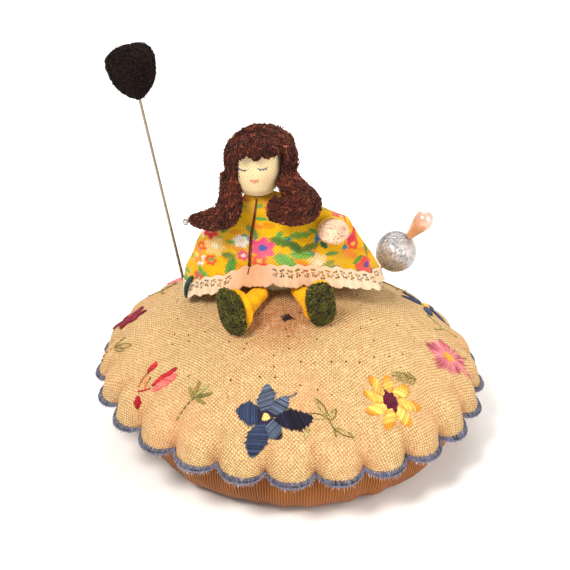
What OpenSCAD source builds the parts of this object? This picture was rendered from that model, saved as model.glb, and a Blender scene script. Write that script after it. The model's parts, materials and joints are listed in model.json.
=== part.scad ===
// Pin cushion: a stuffed, embroidered cushion with a small cloth doll seated on top and
// pins standing in it. Origin on the table under the middle, +Z up, the doll faces -Y.
// "Left" and "right" on the doll are the doll's own: its left is +X.

/* [Cushion] */
// Radius of the scalloped rim at a scallop's tip, without its edging
rim_r = 61.5; // [57:0.5:62]
// Height of the top of the dome above the table
dome_top = 49.2; // [46:0.1:52]
// Radius of curvature of the dome
dome_r = 78.8; // [74:0.1:84]
// Height of the rim above the table
rim_z = 17.6; // [16:0.1:19]
// Number of scallops round the rim
scallops = 24; // [20:4:28]
// Radius of each scallop's arc
scallop_r = 8.5; // [8:0.1:9]
// Thickness of the top cloth, with its backing
cover_t = 0.9; // [0.6:0.1:1.2]
// Thickness of the base cloth
base_t = 0.8; // [0.5:0.1:1.2]
// Width and height of the stitched edging
edging_w = 1.6; // [1:0.1:2]
// Height of the raised embroidery thread
thread_h = 0.5; // [0.3:0.05:0.8]

/* [Doll] */
// Middle of the neck, left to right
neck_x = -10.5; // [-12:0.1:-9]
// Middle of the neck, front to back
neck_y = 4; // [3:0.1:5]
// Height of the doll's shoulders
// Radius of the neck
neck_r = 2; // [1.5:0.1:2.5]
// Half width of the head
head_w = 7.6; // [7:0.1:8]
// Half height of the head
head_h = 9.5; // [9:0.1:10]
// Radius of each leg
leg_r = 3; // [2.6:0.1:3.1]
// Width of a sole
sole_w = 9; // [8:0.1:10]
// Length of a sole
sole_l = 15; // [13:0.1:16]
// Height of the lace band
lace_h = 6; // [3:0.1:6]

/* [Pins] */
// Radius of the hatpin's shaft
hatpin_r = 0.45; // [0.35:0.01:0.6]
// Length of the hatpin's shaft above the cloth
hatpin_out = 76; // [70:1:80]
// Width of the hatpin's felt head
hatpin_head_w = 15; // [11:0.5:15]
// Radius of the pearl pin's shaft
pearl_pin_r = 0.4; // [0.3:0.01:0.5]
// Radius of the round grey pearl
pearl_r = 6.5; // [6:0.1:7]
// Length of the drop pearl
drop_l = 10; // [8:0.1:11]
// Radius of the hair pin's shaft
hair_pin_r = 0.25; // [0.2:0.01:0.35]
// Radial clearance of each shaft in the hole that holds it
pin_gap = 0.05; // [0.02:0.01:0.08]

/* [Hidden] */
$fn = 96;
layer_gap = 0.05;

// Dome: a sphere down to roll_a, then a tighter arc that tucks in to the seam.
dome_cz = dome_top - dome_r;
roll_a = 45;
seam_r = 55.3;
seam_dz = rim_z - dome_cz;
roll_k = (pow(dome_r, 2) - pow(seam_r, 2) - pow(seam_dz, 2))
  / (2 * (dome_r - sin(roll_a) * seam_r - cos(roll_a) * seam_dz));
roll_r = dome_r - roll_k;
roll_c = [roll_k * sin(roll_a), dome_cz + roll_k * cos(roll_a)];
roll_end = 180 - asin((seam_r - roll_c[0]) / roll_r);

// Base: a flat bottom and a round side under the rim.
base_side_r = 12;
base_c = [43, base_side_r];
base_top = rim_z - 0.5;
base_end = acos((base_top - base_side_r) / base_side_r);

// Rim: scallop arcs whose centres lie on a circle.
scallop_c = rim_r - scallop_r;
flange_t = 0.8;

// Pins: where each enters the cloth, and how far it leans to the side from upright.
hatpin_at = [-33.5, 14, 40.3];
hatpin_lean = -10.3;
hatpin_in = 30;
pearl_pin_at = [26.9, 24, 40.5];
pearl_pin_lean = 36.6;
pearl_pin_in = 28;
pearl_out = 12.9;
hair_pin_in = 9;

// Doll: the head, the hips and the shoulder.
head_c = [neck_x, neck_y - 1, 94];
peg_top = 88;
fringe_z = 101.6;
pigtail_bend = [-19.5, -6, 79.6];
pigtail_tip = [-28.4, -2.6, 77.2];
pigtail_tip_r = 2.4;
torso_foot = [-3.5, 8.5, 49];
torso_top = [neck_x, neck_y, 78];
left_hip = [2, -1.5, 52.6];
right_hip = [-8.5, -2, 52.1];
left_foot = [8.6, -14.2, 55];
right_foot = [-17.2, -16.6, 53.6];
foot_gap = 0.7;
shoulder = [13, 4.5, 70.5];
cuff = [13.2, -3.6, 74.8];
hand_c = [13.4, -6.6, 75.7];
// Each ring of the dress: height, middle x, middle y, half width, half depth.
dress_rings = [
  [42, -0.4, 7.5, 33.1, 14.5],
  [55, -2.2, 6.5, 30.6, 12],
  [64.5, -3, 5.5, 26.7, 9.5],
  [69.5, -3, 5, 24, 8],
  [75, -2.5, 4.5, 18.5, 6],
  [80, -4.5, 4, 11.5, 4]
];
hem_gap = 0.4;
arch_r = 50;
arch_x = -2;
arch_top = 56.1;
arch_back = 9;

cream = [0.93, 0.82, 0.62];
hair_brown = [0.2, 0.1, 0.08];
leg_yellow = [0.97, 0.74, 0.05];
sole_green = [0.25, 0.3, 0.13];
steel = [0.62, 0.58, 0.52];

function arc(c, r, a0, a1, n) =
  [for (i = [0:n]) let (a = a0 + (a1 - a0) * i / n) [c[0] + r * sin(a), c[1] + r * cos(a)]];
function dome_line(off) = concat(
  arc([0, dome_cz], dome_r + off, 0, roll_a, 20),
  arc(roll_c, roll_r + off, roll_a + 4, roll_end, 16)
);
function backwards(p) = [for (i = [len(p) - 1:-1:0]) p[i]];
function oval(w, h, n = 40) = [for (i = [0:n - 1]) [w * cos(360 * i / n), h * sin(360 * i / n)]];

// Puts its children on the dome: az turns from the front to the right, polar from the top.
module on_dome(az, polar, spin = 0) {
  translate([0, 0, dome_cz])
    rotate([0, 0, az])
      rotate([polar, 0, 0])
        translate([0, 0, dome_r])
          rotate([0, 0, spin])
            children();
}

// The thin layer just above the dome that embroidery fills.
module thread_layer() {
  translate([0, 0, dome_cz])
    difference() {
      sphere(dome_r + thread_h);
      sphere(dome_r + 0.02);
    }
}

// A block of stitches in an outline, deep enough to cross the thread layer.
module patch() {
  translate([0, 0, -3]) linear_extrude(6) children();
}

// A pointed petal from the origin along +Y.
module petal(length, width) {
  r = (pow(length, 2) + pow(width, 2)) / (4 * width);
  intersection() {
    translate([r - width / 2, length / 2]) circle(r);
    translate([width / 2 - r, length / 2]) circle(r);
  }
}

// A solid of revolution with an oval section, its axis along Z.
module egg(w, h) {
  rotate_extrude() polygon(concat([for (i = [0:20]) [w * sin(9 * i), h * cos(9 * i)]]));
}

// A round-ended rod from the origin along +Z.
module rod(r, length) {
  rotate_extrude() polygon(concat(arc([0, length], r, 0, 90, 10), arc([0, 0], r, 90, 180, 10)));
}

// Turns children's +Z to point from one place to another.
module aim(from, to) {
  d = to - from;
  translate(from)
    rotate([0, acos(d[2] / norm(d)), atan2(d[1], d[0])])
      children();
}

module at_hatpin() {
  translate(hatpin_at) rotate([0, hatpin_lean, 0]) children();
}

module at_pearl_pin() {
  translate(pearl_pin_at) rotate([0, pearl_pin_lean, 0]) children();
}

module at_hair_pin() {
  aim(pigtail_tip, 2 * pigtail_tip - pigtail_bend) translate([0, 0, pigtail_tip_r]) children();
}

// The holes that the two long pins stand in.
module pin_holes() {
  at_hatpin()
    translate([0, 0, -hatpin_in - 9])
      cylinder(r = hatpin_r + pin_gap, h = hatpin_in + 15);
  at_pearl_pin()
    translate([0, 0, -pearl_pin_in - 6])
      cylinder(r = pearl_pin_r + pin_gap, h = pearl_pin_in + 12);
}

module scallop_outline(r) {
  circle(scallop_c + 2);
  for (i = [0:scallops - 1]) rotate(360 * i / scallops) translate([scallop_c, 0]) circle(r);
}

module base_cover() {
  color([0.72, 0.5, 0.3])
    rotate_extrude()
      polygon(concat(
        [[0, 0]],
        backwards(arc(base_c, base_side_r, base_end, 180, 24)),
        arc(base_c, base_side_r - base_t, base_end, 180, 24),
        [[0, base_t]]
      ));
}

// Room round the stuffing for the cover's flange.
module flange_room() {
  translate([0, 0, rim_z - flange_t / 2 - layer_gap])
    linear_extrude(flange_t + 2 * layer_gap)
      difference() {
        circle(seam_r + 8);
        circle(seam_r - 1.6 - layer_gap);
      }
}

module stuffing() {
  inner = base_side_r - base_t - layer_gap;
  color([0.9, 0.86, 0.76])
    difference() {
      rotate_extrude()
        polygon(concat(
          [[0, base_t + layer_gap]],
          backwards(arc(base_c, inner, base_end, 180, 20)),
          backwards(dome_line(-cover_t - layer_gap))
        ));
      pin_holes();
      flange_room();
    }
}

module top_cover() {
  color([0.9, 0.72, 0.5])
    difference() {
      union() {
        rotate_extrude() polygon(concat(dome_line(0), backwards(dome_line(-cover_t))));
        translate([0, 0, rim_z - flange_t / 2])
          linear_extrude(flange_t)
            difference() {
              scallop_outline(scallop_r - edging_w / 2 - layer_gap);
              circle(seam_r - 1.6);
            }
      }
      pin_holes();
    }
}

module scallop_edging() {
  color([0.5, 0.56, 0.7])
    difference() {
      translate([0, 0, rim_z - edging_w / 2])
        linear_extrude(edging_w)
          difference() {
            scallop_outline(scallop_r + edging_w / 2);
            scallop_outline(scallop_r - edging_w / 2);
          }
      rotate_extrude() polygon(concat(dome_line(layer_gap), [[0, rim_z - 2]]));
    }
}

// Small five-petalled flower, dark red, at the left edge.
module red_flower() {
  color([0.45, 0.06, 0.1])
    intersection() {
      thread_layer();
      on_dome(-111, 44, 20)
        patch() {
          for (i = [0:4]) rotate(72 * i) petal(4.6, 3);
        }
    }
}

// A bud seen from the side: two petals and the knot at its base.
module coral_flower() {
  color([0.86, 0.3, 0.28])
    intersection() {
      thread_layer();
      union() {
        on_dome(-61, 38, 12) patch() petal(8, 3.2);
        on_dome(-54, 39.5, -18) patch() petal(7.5, 3.4);
        on_dome(-52, 42, 0) patch() circle(1.3);
      }
    }
}

// Two fans of olive leaves with their stems.
module olive_sprig() {
  color([0.52, 0.46, 0.22])
    intersection() {
      thread_layer();
      union() {
        on_dome(-37, 37, 0)
          patch() {
            for (a = [-50, 0, 50]) rotate(a) petal(4.6, 1.9);
            translate([-0.25, -6]) square([0.5, 6]);
          }
        on_dome(-92, 42, 30)
          patch() {
            for (a = [-40, 10]) rotate(a) petal(5, 1.6);
            translate([-0.25, -5]) square([0.5, 5]);
          }
      }
    }
}

// The large blue flower at the front, petals round a small knot.
module blue_flower() {
  color([0.16, 0.24, 0.46])
    intersection() {
      thread_layer();
      on_dome(-9, 37, 4)
        patch() {
          for (i = [0:4]) rotate(72 * i) petal(10, 7);
        }
    }
}

// Open green leaves between the blue flower and the daisy.
module green_sprig() {
  color([0.62, 0.64, 0.4])
    intersection() {
      thread_layer();
      on_dome(14, 38.5, 0)
        patch() {
          for (a = [-70, -10, 60]) rotate(a) petal(7, 3);
          translate([-0.25, -6.5]) square([0.5, 7]);
        }
    }
}

module yellow_daisy() {
  color([0.9, 0.72, 0.2])
    intersection() {
      thread_layer();
      on_dome(39, 36.6, 0)
        patch() {
          for (i = [0:7]) rotate(45 * i) petal(9, 5);
        }
    }
}

module pink_daisy() {
  color([0.68, 0.36, 0.5])
    intersection() {
      thread_layer();
      on_dome(81, 38, 10)
        patch() {
          for (i = [0:8]) rotate(40 * i) petal(9.5, 2.8);
        }
    }
}

// The same kinds of flower go on round the back.
module back_flowers() {
  color([0.6, 0.35, 0.42])
    intersection() {
      thread_layer();
      union() {
        on_dome(118, 38, 0) patch() for (i = [0:4]) rotate(72 * i) petal(8, 4.5);
        on_dome(152, 38, 0) patch() for (i = [0:7]) rotate(45 * i) petal(8, 3.6);
        on_dome(-172, 38, 0) patch() for (i = [0:4]) rotate(72 * i) petal(9, 6);
        on_dome(-138, 38, 0) patch() for (i = [0:7]) rotate(45 * i) petal(8, 3.2);
      }
    }
}

module back_leaves() {
  color([0.5, 0.5, 0.28])
    intersection() {
      thread_layer();
      union() {
        for (az = [101, 135, 170, -155, -122])
          on_dome(az, 38, 15)
            patch() {
              for (a = [-45, 45]) rotate(a) petal(6, 2);
            }
      }
    }
}

// Knotted thread end that ties the cloth down in front of the doll.
module tie_knot() {
  color([0.16, 0.1, 0.09])
    translate([-1, -12.4, 49.1])
      rotate([0, 90, 20])
        translate([0, 0, -1.4])
          rod(0.5, 2.8);
}

// The body inside the dress, leaning a little to its right, grown by a margin.
module torso_form(margin) {
  aim(torso_foot, torso_top)
    rotate_extrude()
      polygon([
        [0, -2], [6 + margin, -2], [6.5 + margin, 3], [6.2 + margin, 9], [5 + margin, 17],
        [4 + margin, 24], [2.8 + margin, 28 + margin], [0, 29 + margin]
      ]);
}

module torso() {
  color(cream)
    difference() {
      torso_form(0);
      translate([0, 0, dome_cz]) sphere(dome_r + layer_gap);
    }
}

// The neck: the head turns on it.
module neck_peg() {
  color(cream)
    difference() {
      translate([neck_x, neck_y, 72]) cylinder(r = neck_r, h = peg_top - 72, $fn = 64);
      torso_form(0.02);
    }
}

// The closed outer shape of the dress, grown by a margin.
module dress_form(margin) {
  hull()
    for (ring = dress_rings)
      translate([ring[1], ring[2], ring[0]])
        linear_extrude(0.1)
          polygon(oval(ring[3] + margin, ring[4] + margin, 36));
}

// What the hem rests on: the dome, and the arch that the legs lift in front.
module under_hem(margin) {
  translate([0, 0, dome_cz]) sphere(dome_r + hem_gap + margin);
  translate([arch_x, arch_back, arch_top - arch_r])
    rotate([90, 0, 0])
      cylinder(r = arch_r + margin, h = 60);
}

// Room for the arm to lift in the dress.
module arm_room() {
  translate(shoulder) sphere(3.6, $fn = 64);
  aim(shoulder, cuff) cylinder(r1 = 3.6, r2 = 9, h = 12, $fn = 64);
}

module dress() {
  color([0.95, 0.72, 0.12])
    difference() {
      dress_form(0);
      under_hem(1);
      torso_form(0.2);
      translate([neck_x, neck_y, 74]) cylinder(r = neck_r + 0.2, h = 10);
      arm_room();
    }
}

// Edge of the cloth that closes the dress down the front.
module front_piping() {
  color([0.45, 0.08, 0.08])
    intersection() {
      difference() {
        dress_form(0.5);
        dress_form(0.03);
        under_hem(lace_h + 1);
      }
      translate([-11.2, -20, 78])
        rotate([0, 6.5, 0])
          translate([-0.4, 0, -30])
            cube([0.8, 20, 30]);
    }
}

module lace_trim() {
  color([0.95, 0.86, 0.76])
    difference() {
      intersection() {
        dress_form(0.8);
        under_hem(lace_h);
      }
      dress_form(0.05);
      under_hem(0);
      at_hatpin() translate([0, 0, -10]) cylinder(r = hatpin_r + 0.4, h = 30, $fn = 32);
    }
}

// Dark lining seen in the mouth of the right sleeve.
module sleeve_lining() {
  color([0.03, 0.18, 0.17])
    translate([-34.7, 6, 47])
      rotate([0, 3, 0])
        linear_extrude(5.5)
          polygon(oval(0.3, 2.6, 24));
}

module left_sleeve() {
  color([0.95, 0.72, 0.12])
    difference() {
      union() {
        translate(shoulder) sphere(3.2, $fn = 64);
        aim(shoulder, cuff) cylinder(r1 = 3.1, r2 = 4.4, h = norm(cuff - shoulder), $fn = 64);
      }
      aim(shoulder, cuff) translate([0, 0, 6]) cylinder(r = 3.3, h = 10, $fn = 64);
    }
}

module left_hand() {
  color([0.9, 0.72, 0.6])
    union() {
      translate(hand_c) rotate([0, 90, 0]) egg(3.5, 4.7);
      aim(shoulder, cuff) translate([0, 0, 6.05]) cylinder(r = 2.2, h = 4, $fn = 64);
    }
}

// A felt leg from the hip to the foot, with an upright foot that rests on the dome.
module leg(hip, foot) {
  away = atan2(foot[1] - hip[1], foot[0] - hip[0]) + 90;
  ankle = [foot[0], foot[1], foot[2] - 3.4];
  difference() {
    union() {
      aim(hip, ankle) rod(leg_r, norm(ankle - hip) - 2.5);
      translate(foot)
        rotate([0, 0, away])
          translate([0, 3, -0.3])
            rotate([90, 0, 0])
              linear_extrude(4.4)
                polygon(oval(sole_w / 2 + 0.6, sole_l / 2, 40));
    }
    translate([0, 0, dome_cz]) sphere(dome_r + foot_gap);
  }
}

// The green pile oval on the bottom of a foot.
module sole(hip, foot) {
  away = atan2(foot[1] - hip[1], foot[0] - hip[0]) + 90;
  difference() {
    translate(foot)
      rotate([0, 0, away])
        translate([0, -1.45, 0.4])
          rotate([90, 0, 0])
            linear_extrude(1.8)
              polygon(oval(sole_w / 2, sole_l / 2 - 0.6, 40));
    translate([0, 0, dome_cz]) sphere(dome_r + foot_gap);
  }
}

module left_leg() {
  color(leg_yellow) leg(left_hip, left_foot);
}

module left_sole() {
  color(sole_green) sole(left_hip, left_foot);
}

module right_leg() {
  color(leg_yellow) leg(right_hip, right_foot);
}

module right_sole() {
  color(sole_green) sole(right_hip, right_foot);
}

module head_form(margin) {
  translate(head_c) egg(head_w + margin, head_h + margin);
}

module head() {
  color(cream)
    difference() {
      head_form(0);
      translate([neck_x, neck_y, 78])
        cylinder(r = neck_r + pin_gap, h = peg_top - 78 + 0.4, $fn = 64);
    }
}

// Short stitches for the closed eyes.
module eyes() {
  color([0.3, 0.34, 0.42])
    intersection() {
      difference() {
        head_form(0.3);
        head_form(0.02);
      }
      union() {
        translate([neck_x - 4.6, -20, head_c[2] + 2.2]) cube([2.4, 20, 0.6]);
        translate([neck_x + 1.2, -20, head_c[2] + 2.8]) cube([2.8, 20, 0.6]);
      }
    }
}

module mouth() {
  color([0.86, 0.42, 0.34])
    intersection() {
      difference() {
        head_form(0.3);
        head_form(0.02);
      }
      translate([neck_x - 1.6, -20, head_c[2] - 2.4]) cube([2.6, 20, 0.8]);
    }
}

// Ball that the hair cap is cut from.
module cap_ball(margin) {
  translate([neck_x + 1.5, neck_y + 1.5, 96]) sphere(11.8 + margin);
}

// Thick looped hair over the back and sides of the head, open in front for the face.
module hair_cap() {
  color(hair_brown)
    difference() {
      cap_ball(0);
      head_form(0.05);
      translate([neck_x - 6.3, -20, 70]) cube([13, 21.5, fringe_z - 70]);
      translate([neck_x - 20, -20, 70]) cube([60, 60, 16]);
    }
}

module fringe() {
  color(hair_brown)
    difference() {
      for (lobe = [[-4, -1.7], [0, -3.3], [4, -1.7]])
        translate([neck_x + 0.2 + lobe[0], lobe[1], fringe_z - 0.4]) sphere(1.95, $fn = 48);
      head_form(0.05);
      translate([neck_x - 20, -20, fringe_z]) cube([40, 40, 10]);
    }
}

// The pigtail that hangs over the chest.
module left_pigtail() {
  color(hair_brown)
    difference() {
      union() {
        hull() {
          translate([1.2, 0, 90]) sphere(4.4, $fn = 28);
          translate([4, -7.5, 84.6]) sphere(5.2, $fn = 28);
        }
        hull() {
          translate([4, -7.5, 84.6]) sphere(5.2, $fn = 28);
          translate([-2.8, -8.8, 84.2]) sphere(4.2, $fn = 28);
        }
      }
      cap_ball(0.03);
      head_form(0.05);
    }
}

// The pigtail that sweeps out to the side and holds the bead pin.
module right_pigtail() {
  color(hair_brown)
    difference() {
      union() {
        hull() {
          translate([-18.5, 0.5, 89]) sphere(3.6, $fn = 28);
          translate(pigtail_bend) sphere(4.6, $fn = 28);
        }
        hull() {
          translate(pigtail_bend) sphere(4.6, $fn = 28);
          translate(pigtail_tip) sphere(pigtail_tip_r, $fn = 28);
        }
      }
      cap_ball(0.03);
      head_form(0.05);
      at_hair_pin()
        translate([0, 0, -hair_pin_in - 1])
          cylinder(r = hair_pin_r + pin_gap, h = hair_pin_in + 3, $fn = 32);
    }
}

module hair_pin_shaft() {
  color(steel)
    at_hair_pin()
      translate([0, 0, -hair_pin_in])
        cylinder(r = hair_pin_r, h = hair_pin_in + 1.2, $fn = 32);
}

module hair_pin_bead() {
  color([0.85, 0.86, 0.88])
    at_hair_pin()
      translate([0, 0, 2.1])
        difference() {
          sphere(1.1, $fn = 48);
          translate([0, 0, -3]) cylinder(r = hair_pin_r, h = 2.1, $fn = 32);
        }
}

module hatpin_shaft() {
  color(steel)
    at_hatpin() {
      translate([0, 0, -hatpin_in + 4]) cylinder(r = hatpin_r, h = hatpin_out + hatpin_in - 4, $fn = 48);
      translate([0, 0, -hatpin_in]) cylinder(r1 = 0.08, r2 = hatpin_r, h = 4, $fn = 48);
    }
}

// Wrapped felt, narrow where it meets the shaft and flat on top.
module hatpin_head() {
  w = hatpin_head_w / 2;
  color([0.13, 0.08, 0.07])
    at_hatpin()
      translate([0, 0, hatpin_out - 2.5])
        difference() {
          rotate_extrude()
            polygon([
              [0, 0], [2, 0.2], [3.6, 1.6], [0.8 * w, 4.6], [w, 8],
              [w, 11], [0.8 * w, 13.6], [0.5 * w, 14.8], [0, 15]
            ]);
          translate([0, 0, -1]) cylinder(r = hatpin_r, h = 3.5, $fn = 48);
        }
}

module pearl_pin_shaft() {
  color(steel)
    at_pearl_pin() {
      translate([0, 0, -pearl_pin_in + 4])
        cylinder(r = pearl_pin_r, h = pearl_pin_in - 4 + pearl_out + pearl_r + drop_l / 2, $fn = 48);
      translate([0, 0, -pearl_pin_in]) cylinder(r1 = 0.08, r2 = pearl_pin_r, h = 4, $fn = 48);
    }
}

module round_pearl() {
  color([0.6, 0.63, 0.64])
    at_pearl_pin()
      translate([0, 0, pearl_out])
        difference() {
          sphere(pearl_r);
          translate([0, 0, -10]) cylinder(r = pearl_pin_r, h = 20, $fn = 48);
        }
}

// A tapered pearl, its narrow end on the round one.
module drop_pearl() {
  w = 2.9;
  color([0.95, 0.82, 0.74])
    at_pearl_pin()
      translate([0, 0, pearl_out + pearl_r + 0.02])
        difference() {
          rotate_extrude()
            polygon(concat(
              [[0, 0.02], [1.2, 0.15]],
              [for (t = [1:9]) [1.2 + (w - 1.2) * sin(10 * t), 0.15 + (drop_l - w - 0.15) * t / 9]],
              [for (a = [10:10:90]) [w * cos(a), drop_l - w + w * sin(a)]]
            ));
          translate([0, 0, -1]) cylinder(r = pearl_pin_r, h = 1 + drop_l / 2 - 0.02, $fn = 48);
        }
}

base_cover();
stuffing();
top_cover();
scallop_edging();
red_flower();
coral_flower();
olive_sprig();
blue_flower();
green_sprig();
yellow_daisy();
pink_daisy();
back_flowers();
back_leaves();
tie_knot();
torso();
neck_peg();
dress();
front_piping();
lace_trim();
sleeve_lining();
left_sleeve();
left_hand();
left_leg();
left_sole();
right_leg();
right_sole();
head();
eyes();
mouth();
hair_cap();
fringe();
left_pigtail();
right_pigtail();
hair_pin_shaft();
hair_pin_bead();
hatpin_shaft();
hatpin_head();
pearl_pin_shaft();
round_pearl();
drop_pearl();
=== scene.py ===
# Pin cushion with a seated doll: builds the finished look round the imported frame.
import json

import bpy
import numpy as np
from bpy.props import FloatProperty, FloatVectorProperty, IntProperty, PointerProperty
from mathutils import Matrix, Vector


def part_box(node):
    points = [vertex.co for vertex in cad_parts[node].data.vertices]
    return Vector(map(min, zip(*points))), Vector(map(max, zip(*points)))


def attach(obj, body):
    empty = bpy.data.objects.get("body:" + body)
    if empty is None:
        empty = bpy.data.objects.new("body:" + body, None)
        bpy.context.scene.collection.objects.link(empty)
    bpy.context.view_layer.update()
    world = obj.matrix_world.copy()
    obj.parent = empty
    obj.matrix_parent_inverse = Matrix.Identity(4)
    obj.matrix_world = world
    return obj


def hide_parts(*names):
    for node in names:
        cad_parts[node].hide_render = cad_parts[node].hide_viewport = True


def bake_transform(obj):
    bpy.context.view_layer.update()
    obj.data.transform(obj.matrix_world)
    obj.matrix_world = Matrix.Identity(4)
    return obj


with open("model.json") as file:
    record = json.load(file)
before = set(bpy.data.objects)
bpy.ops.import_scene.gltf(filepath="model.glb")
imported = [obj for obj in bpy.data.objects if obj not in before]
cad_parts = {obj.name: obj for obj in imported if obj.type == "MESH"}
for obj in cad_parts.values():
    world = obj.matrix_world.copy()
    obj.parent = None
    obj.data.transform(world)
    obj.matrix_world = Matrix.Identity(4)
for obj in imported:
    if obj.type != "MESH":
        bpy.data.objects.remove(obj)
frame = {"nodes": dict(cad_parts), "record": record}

bl_info = {
    "name": "Pin Cushion",
    "version": (1, 0, 0),
    "blender": (4, 5, 0),
    "location": "3D View > Sidebar > Pin Cushion",
    "description": "Makes an embroidered pin cushion with a cloth doll and decorated pins",
    "category": "Add Mesh",
}

MM = 0.001
TURN = 2 * np.pi


def shade(r, g, b):
    """A colour given from 0 to 255 as seen on a screen, turned into linear light."""
    c = np.array([r, g, b]) / 255
    return tuple(float(x) for x in np.where(c < 0.04045, c / 12.92, ((c + 0.055) / 1.055) ** 2.4))


# ---------------------------------------------------------------- settings


def size(name, default, about):
    return FloatProperty(name=name, default=default, description=about, min=0.0, unit="LENGTH", precision=5)


def colour(name, default, about):
    return FloatVectorProperty(name=name, default=default, description=about, size=3, min=0, max=1, subtype="COLOR")


class PinCushionSizes(bpy.types.PropertyGroup):
    dome_radius: size("Dome radius", 0.0788, "Radius of curvature of the cushion's top")
    dome_height: size("Dome height", 0.0492, "Height of the top of the cushion")
    rim_height: size("Rim height", 0.0176, "Height of the scalloped rim")
    rim_radius: size("Rim radius", 0.0595, "Radius of the rim at a scallop's tip")
    scallop_radius: size("Scallop radius", 0.0077, "Radius of each scallop's arc")
    scallops: IntProperty(name="Scallops", default=24, min=12, max=40, description="Number of scallops")
    cloth: size("Cloth thickness", 0.0007, "Thickness of the linen")
    thread: size("Thread radius", 0.00027, "Radius of the embroidery thread")
    lace_width: size("Lace width", 0.0074, "Width of the lace band")


class PinCushionColours(bpy.types.PropertyGroup):
    linen: colour("Linen", shade(254, 228, 164), "Top cloth")
    # Painted shade: the colour that the top cloth is darkened to in its gathers.
    linen_gather_shade: colour("Linen folds", shade(214, 150, 98), "Top cloth in its gathers")
    base: colour("Base cloth", shade(172, 100, 40), "Ribbed base cloth")
    edging: colour("Edging", shade(98, 98, 116), "Blanket stitch thread")
    hair: colour("Hair", shade(74, 30, 17), "Looped wool hair")
    skin: colour("Face cloth", shade(250, 226, 176), "Cotton of the head")
    print_ground: colour("Dress ground", shade(240, 184, 16), "Ground colour of the printed cotton")
    lace: colour("Lace", shade(240, 214, 184), "Cotton lace")
    leg: colour("Legs", shade(246, 176, 8), "Yellow felt")
    sole: colour("Soles", shade(66, 62, 22), "Green looped pile")
    felt: colour("Hatpin felt", shade(26, 12, 9), "Wrapped felt of the hatpin's head")
    hand: colour("Hand wool", shade(236, 196, 168), "Wound wool of the hand")
    grey_pearl: colour("Grey pearl", shade(216, 212, 210), "Round pearl")
    peach_pearl: colour("Peach pearl", shade(208, 150, 108), "Drop pearl")


def sizes():
    return bpy.context.scene.pin_cushion_sizes


def colours():
    return bpy.context.scene.pin_cushion_colours


# ---------------------------------------------------------------- shapes
# A shape is (points in mm, [faces], [face corner uvs], tint per point).


def smooth(x):
    """0 below 0, 1 above 1, and an even S between."""
    x = np.clip(x, 0, 1)
    return x * x * (3 - 2 * x)


def unit(v):
    """Each vector divided by its length."""
    return v / np.maximum(np.linalg.norm(v, axis=-1, keepdims=True), 1e-12)


def rows_of(tint, count):
    """The tint as one row per point."""
    t = np.asarray(tint, float)
    return np.broadcast_to(t, (count, 3)).copy() if t.ndim == 1 else t.reshape(-1, 3)


def facing_out(points, faces, uvs):
    """The faces, turned over if most of them look towards the middle of the points."""
    a, b, c, d = (points[faces[0][:, k]] for k in range(4))
    if (np.cross(c - a, d - b) * ((a + c) / 2 - points.mean(0))).sum() < 0:
        return [f[:, ::-1] for f in faces], [u[:, ::-1] for u in uvs]
    return faces, uvs


def sheet_shape(grid, tint=(1, 1, 1), wrap=False, close=(False, False), uv=None, keep=None, lips=False):
    """A grid of points joined into quads that face out. Rows run along the first axis; wrap joins the last
    column to the first, close fans an end row to its middle point, and lips joins the two halves of the
    first row and of the last. uv is a grid one column wider when wrapped."""
    rows, cols = grid.shape[:2]
    i, j = np.meshgrid(np.arange(rows - 1), np.arange(cols if wrap else cols - 1), indexing="ij")
    i, j = i.ravel(), j.ravel()
    if keep is not None:
        chosen = keep[i, j]
        i, j = i[chosen], j[chosen]
    corners = [(i, j), (i, j + 1), (i + 1, j + 1), (i + 1, j)]
    quads = np.stack([a * cols + b % cols for a, b in corners], 1)
    if uv is None:
        uv = np.stack(np.meshgrid(np.arange(rows), np.arange(cols + 1), indexing="ij"), -1).astype(float)
    corner_uv = np.stack([uv[a, b] for a, b in corners], 1)
    points, faces, uvs = [grid.reshape(-1, 3)], [quads], [corner_uv]
    tints = [rows_of(tint, rows * cols)]
    count = rows * cols
    for end, wanted in enumerate(close):
        if not wanted:
            continue
        row = 0 if end == 0 else rows - 1
        ring = row * cols + np.arange(cols)
        nxt = np.roll(ring, -1)
        middle = np.full(cols, count)
        fan = np.stack([middle, nxt, ring] if end == 0 else [middle, ring, nxt], 1)
        points.append(grid[row].mean(0, keepdims=True))
        tints.append(tints[0][ring].mean(0, keepdims=True))
        faces.append(fan)
        uvs.append(np.stack([uv[row, :cols]] * 3, 1))
        count += 1
    if lips:
        j = np.arange(cols // 2 - 1)
        strip = np.stack([j + 1, j, cols - 1 - j, cols - 2 - j], 1)
        faces += [strip, strip[:, ::-1] + (rows - 1) * cols]
        uvs += [uv[0, strip], uv[rows - 1, strip[:, ::-1]]]
    points = np.concatenate(points)
    return points, *facing_out(points, faces, uvs), np.concatenate(tints)


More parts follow.
